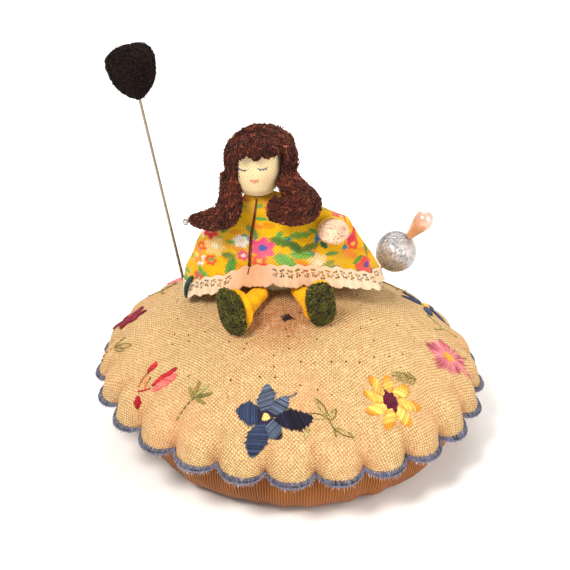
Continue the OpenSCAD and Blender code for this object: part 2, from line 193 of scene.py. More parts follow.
def tube_shape(paths, radii, tints, sides=6, up=(0, 0, 1)):
    """Round tubes along many paths at once. A ring is path + radius * (cos t * side + sin t * over), where
    side is tangent x up and over is side x tangent. Both ends are closed by a polygon."""
    n, k = paths.shape[:2]
    along = unit(np.gradient(paths, axis=1))
    up = np.broadcast_to(np.asarray(up, float), paths.shape)
    side = np.cross(along, up)
    weak = np.linalg.norm(side, axis=-1, keepdims=True) < 0.05
    side = unit(np.where(weak, np.cross(along, [1.0, 0.31, 0.17]), side))
    over = np.cross(side, along)
    t = TURN * np.arange(sides) / sides
    radii = np.broadcast_to(np.asarray(radii, float).reshape(-1, *([1] if np.ndim(radii) < 2 else [k])), (n, k))
    ring = np.cos(t)[:, None] * side[:, :, None] + np.sin(t)[:, None] * over[:, :, None]
    points = (paths[:, :, None] + radii[:, :, None, None] * ring).reshape(-1, 3)
    base = (np.arange(n) * k * sides)[:, None, None]
    i, j = np.arange(k - 1)[None, :, None], np.arange(sides)[None, None, :]
    jn = (j + 1) % sides
    quads = np.stack(np.broadcast_arrays(
        base + i * sides + j, base + (i + 1) * sides + j, base + (i + 1) * sides + jn, base + i * sides + jn
    ), -1).reshape(-1, 4)
    length = np.concatenate([np.zeros((n, 1)), np.linalg.norm(np.diff(paths, axis=1), axis=-1).cumsum(1)], 1)
    l0, l1 = length[:, :-1, None], length[:, 1:, None]
    j0, j1 = j / sides, (j + 1) / sides
    corner_uv = np.stack([np.stack(np.broadcast_arrays(a, b), -1) for a, b in
                          ((l0, j0), (l1, j0), (l1, j1), (l0, j1))], -2).reshape(-1, 4, 2)
    first = base[:, 0, 0][:, None] + np.arange(sides)
    last = base[:, 0, 0][:, None] + (k - 1) * sides + np.arange(sides)[::-1]
    ends = np.concatenate([first, last])
    end_uv = np.zeros((len(ends), sides, 2))
    tint = np.repeat(rows_of(tints, n), k * sides, axis=0)
    return points, [quads, ends], [corner_uv, end_uv], tint


def join(shapes):
    """Several shapes as one."""
    start, points, faces, uvs, tints = 0, [], [], [], []
    for p, f, u, t in shapes:
        points.append(p)
        faces += [x + start for x in f]
        uvs += u
        tints.append(t)
        start += len(p)
    return np.concatenate(points), faces, uvs, np.concatenate(tints)


def make_mesh(name, shape):
    """Puts a shape into a mesh object at the origin, in metres."""
    points, faces, uvs, tint = shape
    mesh = bpy.data.meshes.new(name)
    mesh.vertices.add(len(points))
    mesh.vertices.foreach_set("co", (points * MM).astype(np.float32).ravel())
    counts = np.concatenate([np.full(len(f), f.shape[1]) for f in faces])
    loops = np.concatenate([f.ravel() for f in faces])
    mesh.loops.add(len(loops))
    mesh.loops.foreach_set("vertex_index", loops.astype(np.int32))
    mesh.polygons.add(len(counts))
    mesh.polygons.foreach_set("loop_start", (np.cumsum(counts) - counts).astype(np.int32))
    mesh.polygons.foreach_set("use_smooth", np.ones(len(counts), bool))
    mesh.uv_layers.new(name="cloth").data.foreach_set(
        "uv", np.concatenate([u.reshape(-1, 2) for u in uvs]).astype(np.float32).ravel()
    )
    attribute = mesh.attributes.new("tint", "FLOAT_COLOR", "POINT")
    attribute.data.foreach_set("color", np.c_[tint, np.ones(len(tint))].astype(np.float32).ravel())
    mesh.update(calc_edges=True)
    if mesh.validate(verbose=False):
        raise RuntimeError(f"{name} had faces that Blender had to repair")
    made = bpy.data.objects.new(name, mesh)
    bpy.context.scene.collection.objects.link(made)
    return made


def piece(name, shape, material, body, replaces=(), thickness=0.0):
    """A finished piece: its mesh, its material, a wall if it is thin cloth, and the body that it rides on."""
    made = make_mesh(name, shape)
    made.data.materials.append(material)
    if thickness:
        wall = made.modifiers.new("Wall", "SOLIDIFY")
        wall.thickness = thickness
        wall.offset = -1
    if replaces:
        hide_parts(*replaces)
    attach(made, body)
    return made


# ---------------------------------------------------------------- shader helpers


def add(tree, kind, inputs=None, **settings):
    """A node with its settings, its constants and its links made in one go."""
    made = tree.nodes.new(kind)
    for key, value in settings.items():
        setattr(made, key, value)
    for key, value in (inputs or {}).items():
        if isinstance(value, bpy.types.NodeSocket):
            tree.links.new(value, made.inputs[key])
        else:
            made.inputs[key].default_value = value
    return made


def calc(tree, operation, a, b=0.0, c=0.0):
    return add(tree, "ShaderNodeMath", {0: a, 1: b, 2: c}, operation=operation).outputs[0]


def blend_colours(tree, factor, a, b, kind="MIX"):
    made = add(tree, "ShaderNodeMix", {0: factor}, data_type="RGBA", blend_type=kind)
    for index, value in ((6, a), (7, b)):
        if isinstance(value, bpy.types.NodeSocket):
            tree.links.new(value, made.inputs[index])
        else:
            made.inputs[index].default_value = (*value[:3], 1)
    return made.outputs[2]


def ramp(tree, value, low, high):
    """value carried from low..high to 0..1 and held there."""
    return add(tree, "ShaderNodeMapRange", {0: value, 1: low, 2: high}, clamp=True).outputs[0]


def noise(tree, vector, scale, detail=2.0):
    return add(tree, "ShaderNodeTexNoise", {"Vector": vector, "Scale": scale, "Detail": detail}).outputs["Fac"]


def group(name, inputs, outputs):
    """An empty node group with named sockets. Returns the tree, its input sockets and its output node."""
    tree = bpy.data.node_groups.new(name, "ShaderNodeTree")
    for key, kind, default in inputs:
        socket = tree.interface.new_socket(key, in_out="INPUT", socket_type=kind)
        if default is not None:
            socket.default_value = default
    for key, kind in outputs:
        tree.interface.new_socket(key, in_out="OUTPUT", socket_type=kind)
    entry = tree.nodes.new("NodeGroupInput")
    return tree, entry.outputs, tree.nodes.new("NodeGroupOutput")


def weave_group():
    """Plain weave. Height is sin x * sin y of the two thread directions, rounded by |sin| of each, so that
    threads pass over and under by turns; Slub is a slow change of thickness along each thread."""
    found = bpy.data.node_groups.get("Plain Weave")
    if found:
        return found
    tree, given, out = group(
        "Plain Weave",
        [("Vector", "NodeSocketVector", None), ("Pitch", "NodeSocketFloat", 0.8)],
        [("Height", "NodeSocketFloat"), ("Slub", "NodeSocketFloat")],
    )
    wander = add(tree, "ShaderNodeTexNoise", {"Vector": given["Vector"], "Scale": 0.12, "Detail": 2.0})
    shift = add(tree, "ShaderNodeVectorMath", {0: wander.outputs["Color"], "Scale": 2.2}, operation="SCALE")
    moved = add(tree, "ShaderNodeVectorMath", {0: given["Vector"], 1: shift.outputs[0]}, operation="ADD")
    parts = add(tree, "ShaderNodeSeparateXYZ", {0: moved.outputs[0]})
    waves, ribs, slubs = [], [], []
    for axis, stretch in (("X", (2.4, 0.3, 1.0)), ("Y", (0.3, 2.4, 1.0))):
        angle = calc(tree, "MULTIPLY", calc(tree, "DIVIDE", parts.outputs[axis], given["Pitch"]), np.pi)
        waves.append(calc(tree, "SINE", angle))
        ribs.append(calc(tree, "ABSOLUTE", calc(tree, "COSINE", angle)))
        long = add(tree, "ShaderNodeVectorMath", {0: moved.outputs[0], 1: stretch}, operation="MULTIPLY")
        slubs.append(noise(tree, long.outputs[0], 1.0, 1.0))
    cross = calc(tree, "MULTIPLY", waves[0], waves[1])
    ridge = calc(tree, "MULTIPLY", calc(tree, "ADD", ribs[0], ribs[1]), -0.35)
    slub = calc(tree, "MULTIPLY", calc(tree, "ADD", slubs[0], slubs[1]), 0.5)
    height = calc(tree, "ADD", calc(tree, "MULTIPLY", cross, 0.6), calc(tree, "MULTIPLY_ADD", slub, 0.4, ridge))
    tree.links.new(height, out.inputs["Height"])
    tree.links.new(slub, out.inputs["Slub"])
    return tree


def fuzz_group():
    """Soft fibre texture: two sizes of noise on object coordinates. Height feeds a bump, Tone varies colour."""
    found = bpy.data.node_groups.get("Fibre Fuzz")
    if found:
        return found
    tree, given, out = group(
        "Fibre Fuzz",
        [("Scale", "NodeSocketFloat", 1.0)],
        [("Height", "NodeSocketFloat"), ("Tone", "NodeSocketFloat")],
    )
    where = add(tree, "ShaderNodeTexCoord").outputs["Object"]
    fine = noise(tree, where, calc(tree, "MULTIPLY", given["Scale"], 1400.0), 4.0)
    coarse = noise(tree, where, calc(tree, "MULTIPLY", given["Scale"], 220.0), 3.0)
    tree.links.new(calc(tree, "ADD", calc(tree, "MULTIPLY", fine, 0.5), coarse), out.inputs["Height"])
    tree.links.new(calc(tree, "ADD", calc(tree, "MULTIPLY", fine, 0.6), coarse), out.inputs["Tone"])
    return tree


def twist_group():
    """Plied thread: slanting bands sin(length / pitch + turns round the thread), read from the uv map."""
    found = bpy.data.node_groups.get("Thread Twist")
    if found:
        return found
    tree, given, out = group(
        "Thread Twist", [("Pitch", "NodeSocketFloat", 0.55)], [("Height", "NodeSocketFloat")]
    )
    uv = add(tree, "ShaderNodeUVMap", uv_map="cloth")
    parts = add(tree, "ShaderNodeSeparateXYZ", {0: uv.outputs[0]})
    along = calc(tree, "DIVIDE", parts.outputs["X"], given["Pitch"])
    angle = calc(tree, "MULTIPLY", calc(tree, "ADD", along, parts.outputs["Y"]), TURN)
    tree.links.new(calc(tree, "SINE", angle), out.inputs["Height"])
    return tree


def material(name, roughness=0.8, **constants):
    """A new material: its tree, its Principled node and the material."""
    made = bpy.data.materials.new(name)
    made.use_nodes = True
    tree = made.node_tree
    bsdf = tree.nodes["Principled BSDF"]
    bsdf.inputs["Roughness"].default_value = roughness
    bsdf.inputs["Specular IOR Level"].default_value = 0.15
    for key, value in constants.items():
        bsdf.inputs[key.replace("_", " ")].default_value = value
    return tree, bsdf, made


def set_bump(tree, bsdf, height, strength, distance):
    bump = add(tree, "ShaderNodeBump", {"Height": height, "Strength": strength, "Distance": distance})
    tree.links.new(bump.outputs[0], bsdf.inputs["Normal"])


def tint_of(tree):
    return add(tree, "ShaderNodeAttribute", attribute_name="tint").outputs["Color"]


def uv_of(tree):
    return add(tree, "ShaderNodeUVMap", uv_map="cloth").outputs[0]


def use(tree, made_group, **inputs):
    node = add(tree, "ShaderNodeGroup", node_tree=made_group)
    for key, value in inputs.items():
        if isinstance(value, bpy.types.NodeSocket):
            tree.links.new(value, node.inputs[key])
        else:
            node.inputs[key].default_value = value
    return node.outputs


def linen_material():
    """Unbleached linen: weave, painted shade in its gathers and a painted shadow with some stain under the doll, both
    carried by the tint, soft stains and old pinholes.
    """
    tree, bsdf, made = material("Embroidery linen", 0.82, Sheen_Weight=0.03)
    cloth = use(tree, weave_group(), Vector=uv_of(tree), Pitch=0.66)
    where = add(tree, "ShaderNodeTexCoord").outputs["Object"]
    body = tint_of(tree)
    gaps = ramp(tree, cloth["Height"], 0.25, -0.5)
    woven = blend_colours(tree, calc(tree, "MULTIPLY", gaps, 0.85), body, shade(158, 98, 52))
    light = ramp(tree, cloth["Slub"], 0.46, 0.66)
    woven = blend_colours(tree, calc(tree, "MULTIPLY", light, 0.3), woven, shade(255, 236, 188))
    stain = ramp(tree, noise(tree, where, 38.0, 4.0), 0.48, 0.72)
    woven = blend_colours(tree, calc(tree, "MULTIPLY", stain, 0.28), woven, shade(228, 156, 112))
    cells = add(tree, "ShaderNodeTexVoronoi", {"Vector": uv_of(tree), "Scale": 0.22}, voronoi_dimensions="2D")
    chosen = add(tree, "ShaderNodeSeparateColor", {0: cells.outputs["Color"]}).outputs[0]
    dot = calc(tree, "MULTIPLY", ramp(tree, cells.outputs["Distance"], 0.085, 0.055), ramp(tree, chosen, 0.66, 0.67))
    high = add(tree, "ShaderNodeSeparateXYZ", {0: where}).outputs["Z"]
    dot = calc(tree, "MULTIPLY", dot, ramp(tree, high, 0.034, 0.039))
    tree.links.new(blend_colours(tree, dot, woven, shade(44, 26, 16)), bsdf.inputs["Base Color"])
    set_bump(tree, bsdf, cloth["Height"], 0.9, 0.0004)
    return made


def base_material():
    """Golden-brown ribbed cloth: ribs run up the side, with fine cross threads and a slight shine."""
    tree, bsdf, made = material("Ribbed base cloth", 0.5, Sheen_Weight=0.04)
    parts = add(tree, "ShaderNodeSeparateXYZ", {0: uv_of(tree)})
    where = add(tree, "ShaderNodeTexCoord").outputs["Object"]
    wander = calc(tree, "MULTIPLY", noise(tree, where, 60.0, 2.0), 1.6)
    rib = calc(tree, "SINE", calc(tree, "MULTIPLY", calc(tree, "ADD", parts.outputs["X"], wander), TURN / 0.95))
    cross = calc(tree, "SINE", calc(tree, "MULTIPLY", parts.outputs["Y"], TURN / 0.4))
    height = calc(tree, "ADD", rib, calc(tree, "MULTIPLY", cross, 0.25))
    deep = blend_colours(tree, ramp(tree, rib, -0.9, 0.9), shade(84, 42, 16), tint_of(tree))
    patch = ramp(tree, noise(tree, where, 45.0, 3.0), 0.35, 0.7)
    tree.links.new(
        blend_colours(tree, calc(tree, "MULTIPLY", patch, 0.35), deep, shade(192, 120, 58)), bsdf.inputs["Base Color"]
    )
    set_bump(tree, bsdf, height, 0.6, 0.0003)
    return made


def thread_material(name, shine=0.45, pitch=0.55):
    """Plied embroidery thread, coloured by the tint, with a twist and some loose fibre."""
    tree, bsdf, made = material(name, shine, Sheen_Weight=0.05)
    twist = use(tree, twist_group(), Pitch=pitch)["Height"]
    fuzz = use(tree, fuzz_group(), Scale=1.0)
    dark = add(tree, "ShaderNodeHueSaturation", {"Value": 0.62, "Color": tint_of(tree)}).outputs[0]
    lit = blend_colours(tree, ramp(tree, twist, -1.0, 0.5), dark, tint_of(tree))
    tone = ramp(tree, fuzz["Tone"], 0.55, 1.05)
    pale = add(tree, "ShaderNodeHueSaturation", {"Value": 1.5, "Color": lit}).outputs[0]
    tree.links.new(blend_colours(tree, tone, lit, pale), bsdf.inputs["Base Color"])
    set_bump(tree, bsdf, calc(tree, "ADD", twist, fuzz["Height"]), 0.5, 0.00012)
    return made


def fluff_material(name, scale=1.0, roughness=0.95, pale=1.5, sheen=0.06):
    """Wool, felt or pile, coloured by the tint and broken up by fibre noise."""
    tree, bsdf, made = material(name, roughness, Sheen_Weight=sheen, Sheen_Roughness=0.6)
    fuzz = use(tree, fuzz_group(), Scale=scale)
    own = tint_of(tree)
    dark = add(tree, "ShaderNodeHueSaturation", {"Value": 0.6, "Color": own}).outputs[0]
    light = add(tree, "ShaderNodeHueSaturation", {"Value": pale, "Color": own}).outputs[0]
    tree.links.new(
        blend_colours(tree, ramp(tree, fuzz["Tone"], 0.55, 1.05), dark, light), bsdf.inputs["Base Color"]
    )
    set_bump(tree, bsdf, fuzz["Height"], 0.6, 0.0004)
    return made


def cotton_material(name, pitch=0.34, depth=0.3, roughness=0.85):
    """Fine cotton, coloured by the tint, woven in its uv map."""
    tree, bsdf, made = material(name, roughness, Sheen_Weight=0.04)
    cloth = use(tree, weave_group(), Vector=uv_of(tree), Pitch=pitch)
    own = tint_of(tree)
    dark = add(tree, "ShaderNodeHueSaturation", {"Value": 0.7, "Color": own}).outputs[0]
    gaps = calc(tree, "MULTIPLY", ramp(tree, cloth["Height"], 0.2, -0.5), depth * 2)
    woven = blend_colours(tree, gaps, own, dark)
    where = add(tree, "ShaderNodeTexCoord").outputs["Object"]
    worn = ramp(tree, noise(tree, where, 90.0, 4.0), 0.52, 0.78)
    tree.links.new(
        blend_colours(tree, calc(tree, "MULTIPLY", worn, 0.12), woven, shade(250, 226, 170)),
        bsdf.inputs["Base Color"],
    )
    set_bump(tree, bsdf, cloth["Height"], 0.5, 0.00012)
    return made


def steel_material():
    """Pin steel: bright and lightly scratched, browned by age towards the cloth."""
    tree, bsdf, made = material("Pin steel", 0.3, Metallic=1.0)
    where = add(tree, "ShaderNodeTexCoord").outputs["Object"]
    high = add(tree, "ShaderNodeSeparateXYZ", {0: where}).outputs["Z"]
    spots = noise(tree, where, 900.0, 4.0)
    low = ramp(tree, high, 0.085, 0.05)
    rust = calc(tree, "MULTIPLY", ramp(tree, calc(tree, "ADD", spots, calc(tree, "MULTIPLY", low, 0.3)), 0.68, 0.95), 0.85)
    tree.links.new(
        blend_colours(tree, rust, shade(150, 138, 120), shade(84, 56, 40)), bsdf.inputs["Base Color"]
    )
    tree.links.new(add(tree, "ShaderNodeMapRange", {0: rust, 3: 0.3, 4: 0.7}).outputs[0], bsdf.inputs["Roughness"])
    set_bump(tree, bsdf, spots, 0.15, 0.00005)
    return made


def grey_pearl_material():
    """Nacre in long streaks from pole to pole, grey to warm silver, under a clear coat."""
    tree, bsdf, made = material("Grey pearl", 0.28, Coat_Weight=0.8, Coat_Roughness=0.12, Specular_IOR_Level=0.5)
    parts = add(tree, "ShaderNodeSeparateXYZ", {0: uv_of(tree)})
    streak_at = add(tree, "ShaderNodeCombineXYZ", {
        0: calc(tree, "MULTIPLY", parts.outputs["Y"], 1.6), 1: calc(tree, "MULTIPLY", parts.outputs["X"], 0.22)
    })
    streaks = noise(tree, streak_at.outputs[0], 3.0, 3.0)
    where = add(tree, "ShaderNodeTexCoord").outputs["Object"]
    clouds = noise(tree, where, 160.0, 3.0)
    lit = blend_colours(tree, ramp(tree, streaks, 0.4, 0.62), shade(84, 84, 90), tint_of(tree))
    warm = blend_colours(tree, ramp(tree, clouds, 0.45, 0.7), lit, shade(206, 190, 182))
    tree.links.new(warm, bsdf.inputs["Base Color"])
    tree.links.new(
        add(tree, "ShaderNodeMapRange", {0: streaks, 3: 0.9, 4: 0.4}).outputs[0], bsdf.inputs["Metallic"]
    )
    set_bump(tree, bsdf, calc(tree, "ADD", streaks, calc(tree, "MULTIPLY", clouds, 0.6)), 0.5, 0.0006)
    return made


def drop_pearl_material():
    """Warm pearl with a lilac bloom towards its round end."""
    tree, bsdf, made = material("Drop pearl", 0.16, Coat_Weight=1.0, Coat_Roughness=0.04, Metallic=0.25, Specular_IOR_Level=0.5)
    parts = add(tree, "ShaderNodeSeparateXYZ", {0: uv_of(tree)})
    where = add(tree, "ShaderNodeTexCoord").outputs["Object"]
    clouds = noise(tree, where, 260.0, 3.0)
    along = ramp(tree, parts.outputs["X"], 4.5, 10.5)
    bloom = blend_colours(tree, along, tint_of(tree), shade(226, 186, 172))
    tree.links.new(
        blend_colours(tree, calc(tree, "MULTIPLY", ramp(tree, clouds, 0.4, 0.75), 0.4), bloom, shade(214, 140, 92)),
        bsdf.inputs["Base Color"],
    )
    set_bump(tree, bsdf, clouds, 0.12, 0.0002)
    return made


def bead_material():
    """Clear glass bead with faint seeds in it."""
    tree, bsdf, made = material("Clear bead", 0.05, Transmission_Weight=0.85, IOR=1.5, Specular_IOR_Level=0.5)
    where = add(tree, "ShaderNodeTexCoord").outputs["Object"]
    tree.links.new(
        blend_colours(tree, noise(tree, where, 900.0, 2.0), shade(226, 230, 232), shade(170, 176, 180)),
        bsdf.inputs["Base Color"],
    )
    return made


# ---------------------------------------------------------------- the cushion's surface

CAP_ANGLE = np.radians(44)
ROLL_LENGTH = 11.5
TILT = 0.036


def dome_radius():
    return sizes().dome_radius / MM


def cap_end():
    """Distance along the cloth from the top to where the dome turns down."""
    return dome_radius() * CAP_ANGLE


def cloth_end():
    return cap_end() + ROLL_LENGTH


def scallop_offset(a):
    """Angle from the middle of the nearest scallop, whose middles start at the front."""
    step = TURN / sizes().scallops
    return (a + step / 2) % step - step / 2


def rim_outline(a):
    """Radius of the scalloped outline: c cos b + sqrt(s^2 - c^2 sin^2 b) for an arc of radius s about c."""
    s = sizes().scallop_radius / MM
    c = sizes().rim_radius / MM - s
    b = scallop_offset(a)
    return c * np.cos(b) + np.sqrt(s**2 - (c * np.sin(b)) ** 2)


def cover_point(a, q):
    """The top cloth at azimuth a (0 at the front, growing to the right) and distance q along the cloth from
    the top: a sphere, then a cubic that turns down to the scalloped rim. Notches pull it in and the stuffing
    swells between them; slow sines make it lumpy, and it sits a little higher on its left."""
    a, q = np.broadcast_arrays(np.asarray(a, float), np.asarray(q, float))
    big, top = dome_radius(), sizes().dome_height / MM
    rim_z = sizes().rim_height / MM
    angle = np.minimum(q / big, CAP_ANGLE)
    r, z = big * np.sin(angle), top - big + big * np.cos(angle)
    s = np.clip((q - cap_end()) / ROLL_LENGTH, 0, 1)
    rim = rim_outline(a)
    notch = np.abs(scallop_offset(a)) / (np.pi / sizes().scallops)
    steep = np.radians(48 + 34 * notch**2)
    h00, h10 = 2 * s**3 - 3 * s**2 + 1, s**3 - 2 * s**2 + s
    h01, h11 = 3 * s**2 - 2 * s**3, s**3 - s**2
    r = np.where(s > 0, h00 * r + h10 * 14 * np.cos(CAP_ANGLE) + h01 * rim + h11 * 9 * np.cos(steep), r)
    z = np.where(s > 0, h00 * z - h10 * 14 * np.sin(CAP_ANGLE) + h01 * rim_z - h11 * 9 * np.sin(steep), z)
    pull = smooth((q - 50) / (cloth_end() - 50))
    valley = np.exp(-(((1 - notch) * 7.2 / 1.7) ** 2)) * pull
    swell = np.cos(scallop_offset(a) * sizes().scallops) * np.exp(-(((q - 64) / 5.5) ** 2))
    fine = np.sin(a * sizes().scallops * 4 + 2 * np.sin(3 * a)) * pull**2 * (1 - s**6)
    r = r - 0.9 * valley * (1 - s) + 0.45 * swell + 0.12 * fine
    z = z - 1.3 * valley * (1 - s**3) + 0.35 * swell + 0.1 * fine + 1.9 * notch**3 * s**2
    slow = smooth((q - 12) / 25) * (1 - smooth((q - 58) / 12))
    z = z + slow * (0.45 * np.sin(2 * a + 0.8) + 0.3 * np.sin(5 * a + q / 9) + 0.22 * np.sin(7 * a - q / 6 + 2))
    oval = 0.05 * smooth((r - 25) / 32)
    x, y = r * (1 + oval) * np.sin(a), -r * np.cos(a)
    return np.stack([x, y, z - TILT * x * smooth((r - 22) / 26)], -1)


def cover_normal(a, q):
    """Outward normal of the top cloth, from two short steps along it."""
    step = 0.01
    here = cover_point(a, q)
    down = cover_point(a, np.asarray(q) + step) - here
    across = cover_point(np.asarray(a) + step / 40, q) - here
    return unit(np.cross(down, across))


def on_cover(az, polar, flat, lift):
    """Puts flat points, x to the right and y towards the top, on the cloth round a place on the dome, and
    lifts them off it. lift has one value per point."""
    q0 = dome_radius() * np.radians(polar)
    q = q0 - flat[..., 1]
    a = np.radians(az) + flat[..., 0] / (dome_radius() * np.sin(np.radians(polar)))
    return cover_point(a, q) + cover_normal(a, q) * np.asarray(lift)[..., None]


# ---------------------------------------------------------------- stitches
# A set of stitches is (flat paths n x k x 2, heights n x k, tints n x 3).

STITCH_POINTS = 7


def stitch(starts, ends, tints, height=0.34, sag=-0.12):
    """Straight stitches from one flat point to another, arched over the cloth and sunk at both ends."""
    starts, ends = np.atleast_2d(starts), np.atleast_2d(ends)
    t = np.linspace(0, 1, STITCH_POINTS)
    paths = starts[:, None] + (ends - starts)[:, None] * t[None, :, None]
    arch = sag + (height - sag) * np.sin(np.pi * t) ** 0.45
    return paths, np.repeat(arch[None], len(starts), 0), rows_of(tints, len(starts))


def mottle(rng, tint, count, spread=0.2):
    """The tint, a little lighter or darker for each stitch."""
    return np.clip(np.asarray(tint) * (1 + spread * rng.standard_normal((count, 1))), 0, 1)


def satin_leaf(rng, centre, turn, length, width, tint, slant=20, gap=0.4, start=0.0, bend=0.0, blunt=0.75):
    """A petal filled with stitches laid across it. Half width follows sin(pi t)^blunt along the petal."""
    count = max(3, int(length / gap))
    t = np.linspace(0.04, 0.96, count)
    d, s = np.radians(turn), np.radians(slant)
    along = np.array([np.sin(d), np.cos(d)])
    across = np.array([np.cos(d - s), -np.sin(d - s)])
    side = np.array([np.cos(d), -np.sin(d)])
    middle = np.asarray(centre) + along * (start + length * t)[:, None] + side * (bend * np.sin(np.pi * t))[:, None]
    half = width / 2 * np.sin(np.pi * t) ** blunt * (1 + 0.1 * rng.standard_normal(count))
    return stitch(middle - across * half[:, None], middle + across * half[:, None], mottle(rng, tint, count))


def rays(rng, centre, turn, length, width, tint, count=6, start=1.4):
    """Loose straight stitches that fan out from the middle in one petal."""
    spread = np.linspace(-1, 1, count)
    d = np.radians(turn + spread * np.degrees(width / 2 / length) * 1.3)
    reach = start + (length - start) * (1 - 0.28 * np.abs(spread)) * (1 + 0.12 * rng.standard_normal(count))
    along = np.stack([np.sin(d), np.cos(d)], 1)
    return stitch(centre + along * start, centre + along * reach[:, None], mottle(rng, tint, count), 0.3)


def line_of(rng, points, tint, length=1.25, cover=0.85):
    """Running or stem stitches along a smooth curve through three flat points."""
    p0, p1, p2 = (np.array(p, float) for p in points)
    t = np.linspace(0, 1, 60)[:, None]
    curve = (1 - t) ** 2 * p0 + 2 * t * (1 - t) * p1 + t**2 * p2
    total = np.linalg.norm(np.diff(curve, axis=0), axis=1).sum()
    count = max(2, int(total / length))
    first = np.arange(count) / count
    pick = np.linspace(0, 1, 60)
    at = lambda u: np.stack([np.interp(u, pick, curve[:, 0]), np.interp(u, pick, curve[:, 1])], 1)
    ends = np.minimum(first + cover / count, 1)
    return stitch(at(first), at(ends), mottle(rng, tint, count), 0.26)


def knot(rng, centre, size_mm, tint, turns=14):
    """A filled knot: short stitches that cross one another over a small circle."""
    d = rng.uniform(0, TURN, turns)
    reach = size_mm * rng.uniform(0.65, 1.0, turns)[:, None]
    along = np.stack([np.cos(d), np.sin(d)], 1)
    drift = rng.uniform(-0.35, 0.35, (turns, 2)) * size_mm
    return stitch(centre + drift - along * reach, centre + drift + along * reach, mottle(rng, tint, turns), 0.75)


def sewn(az, polar, sets, thin=1.0):
    """Stitch sets round one place on the dome, as thread tubes."""
    paths, heights, tints = (np.concatenate([s[i] for s in sets]) for i in range(3))
    points = on_cover(az, polar, paths, heights)
    up = cover_normal(np.radians(az), dome_radius() * np.radians(polar))
    radius = sizes().thread / MM * thin
    ends = np.array([0.55, 0.9, 1, 1, 1, 0.9, 0.55]) * radius
    return tube_shape(points, np.repeat(ends[None], len(points), 0), tints, 6, up)


NAVY, SLATE, PALE_BLUE = shade(24, 22, 40), shade(48, 60, 88), shade(80, 90, 110)
DARK_RED, CORAL, PINK = shade(112, 14, 34), shade(182, 36, 46), shade(218, 104, 96)
OLIVE, MOSS, SAGE = shade(142, 124, 68), shade(110, 102, 54), shade(160, 150, 92)
YELLOW, AMBER, MAROON = shade(238, 188, 92), shade(226, 138, 34), shade(84, 16, 42)
ROSE, DEEP_ROSE, ORANGE = shade(214, 126, 132), shade(184, 88, 104), shade(240, 158, 54)
STEM_BROWN = shade(176, 96, 54)


def spun(sets, degrees):
    """The same stitches turned anticlockwise about their own middle."""
    c, s = np.cos(np.radians(degrees)), np.sin(np.radians(degrees))
    return [(paths @ np.array([[c, s], [-s, c]]), heights, tints) for paths, heights, tints in sets]


def red_flower_shape(rng):
    sets = [satin_leaf(rng, (0, 0), turn, 4.7, 3.4, DARK_RED, 8, 0.38, 0.3) for turn in (20, 62, 108, 165, 235, 290)]
    sets.append(knot(rng, (0, 0), 0.5, shade(168, 60, 60), 8))
    for _, _, tints in sets:
        tints[::3] *= 1.5
    wide = [(paths * np.array([1.0, 1.45]), heights, tints) for paths, heights, tints in sets]
    return [sewn(-106, 41, wide)]


def coral_flower_shape(rng):
    bud = [satin_leaf(rng, (0, 0), 10, 4.4, 2.6, CORAL, 30, 0.36)]
    bud += [line_of(rng, ((0, 0), (-1.2, -2.6), (-1.0, -5.6)), STEM_BROWN)]
    petal = [satin_leaf(rng, (-0.8, -0.2), 27, 9.4, 3.2, CORAL, 32, 0.36),
             satin_leaf(rng, (0.7, -1.6), 30, 8.8, 4.8, PINK, 32, 0.36)]
    petal += [line_of(rng, ((-1.0, -1.0), (-2.6, -2.4), (-4.4, -3.4)), CORAL, 0.9, 1.0)]
    heart = [satin_leaf(rng, (-1.2, 1.0), 140, 4.0, 2.4, shade(158, 20, 34), 0, 0.32)]
    twigs = [line_of(rng, ((0, 0), (-1.5, 1.6), (-2.4, 4.6)), STEM_BROWN),
             line_of(rng, ((0, 0), (-3.2, 1.8), (-4.6, 4.4)), shade(228, 160, 96))]
    turned = [spun(bud, 32), spun(petal, 16)]
    return [sewn(-62.5, 37.6, turned[0]), sewn(-55, 38.8, turned[1]), sewn(-56, 43.4, heart), sewn(-57, 40.9, twigs, 0.7)]


def olive_sprig_shape(rng):
    fan = []
    for turn, length, tint in ((-62, 3.4, OLIVE), (-22, 4.8, OLIVE), (14, 5.0, SAGE), (48, 4.6, MOSS), (88, 3.2, OLIVE)):
        fan.append(satin_leaf(rng, (0, 0), turn, length * 1.15, 2.9, tint, 62, 0.34, 0.3))
    fan += [line_of(rng, ((0, 0), (-1.4, -3.4), (-1.6, -8.6)), MOSS, 1.5, 0.75)]
    leaf = []
    for root, tip, out in (((0, -1), (5.4, 5.2), 1.4), ((0, -1.4), (4.9, 1.9), -1.3), ((-0.6, -1), (-2.2, 2.6), 0.9)):
        middle = (np.array(root) + tip) / 2
        for side in (-1, 1):
            leaf.append(line_of(rng, (root, middle + np.array([-out, out]) * side, tip), OLIVE, 1.1, 1.0))
    leaf += [line_of(rng, ((0, -1), (-0.3, -4), (0.2, -9.5)), STEM_BROWN, 1.7, 0.5)]
    return [sewn(-37, 36.6, fan, 0.9), sewn(-89, 42, leaf, 0.8)]


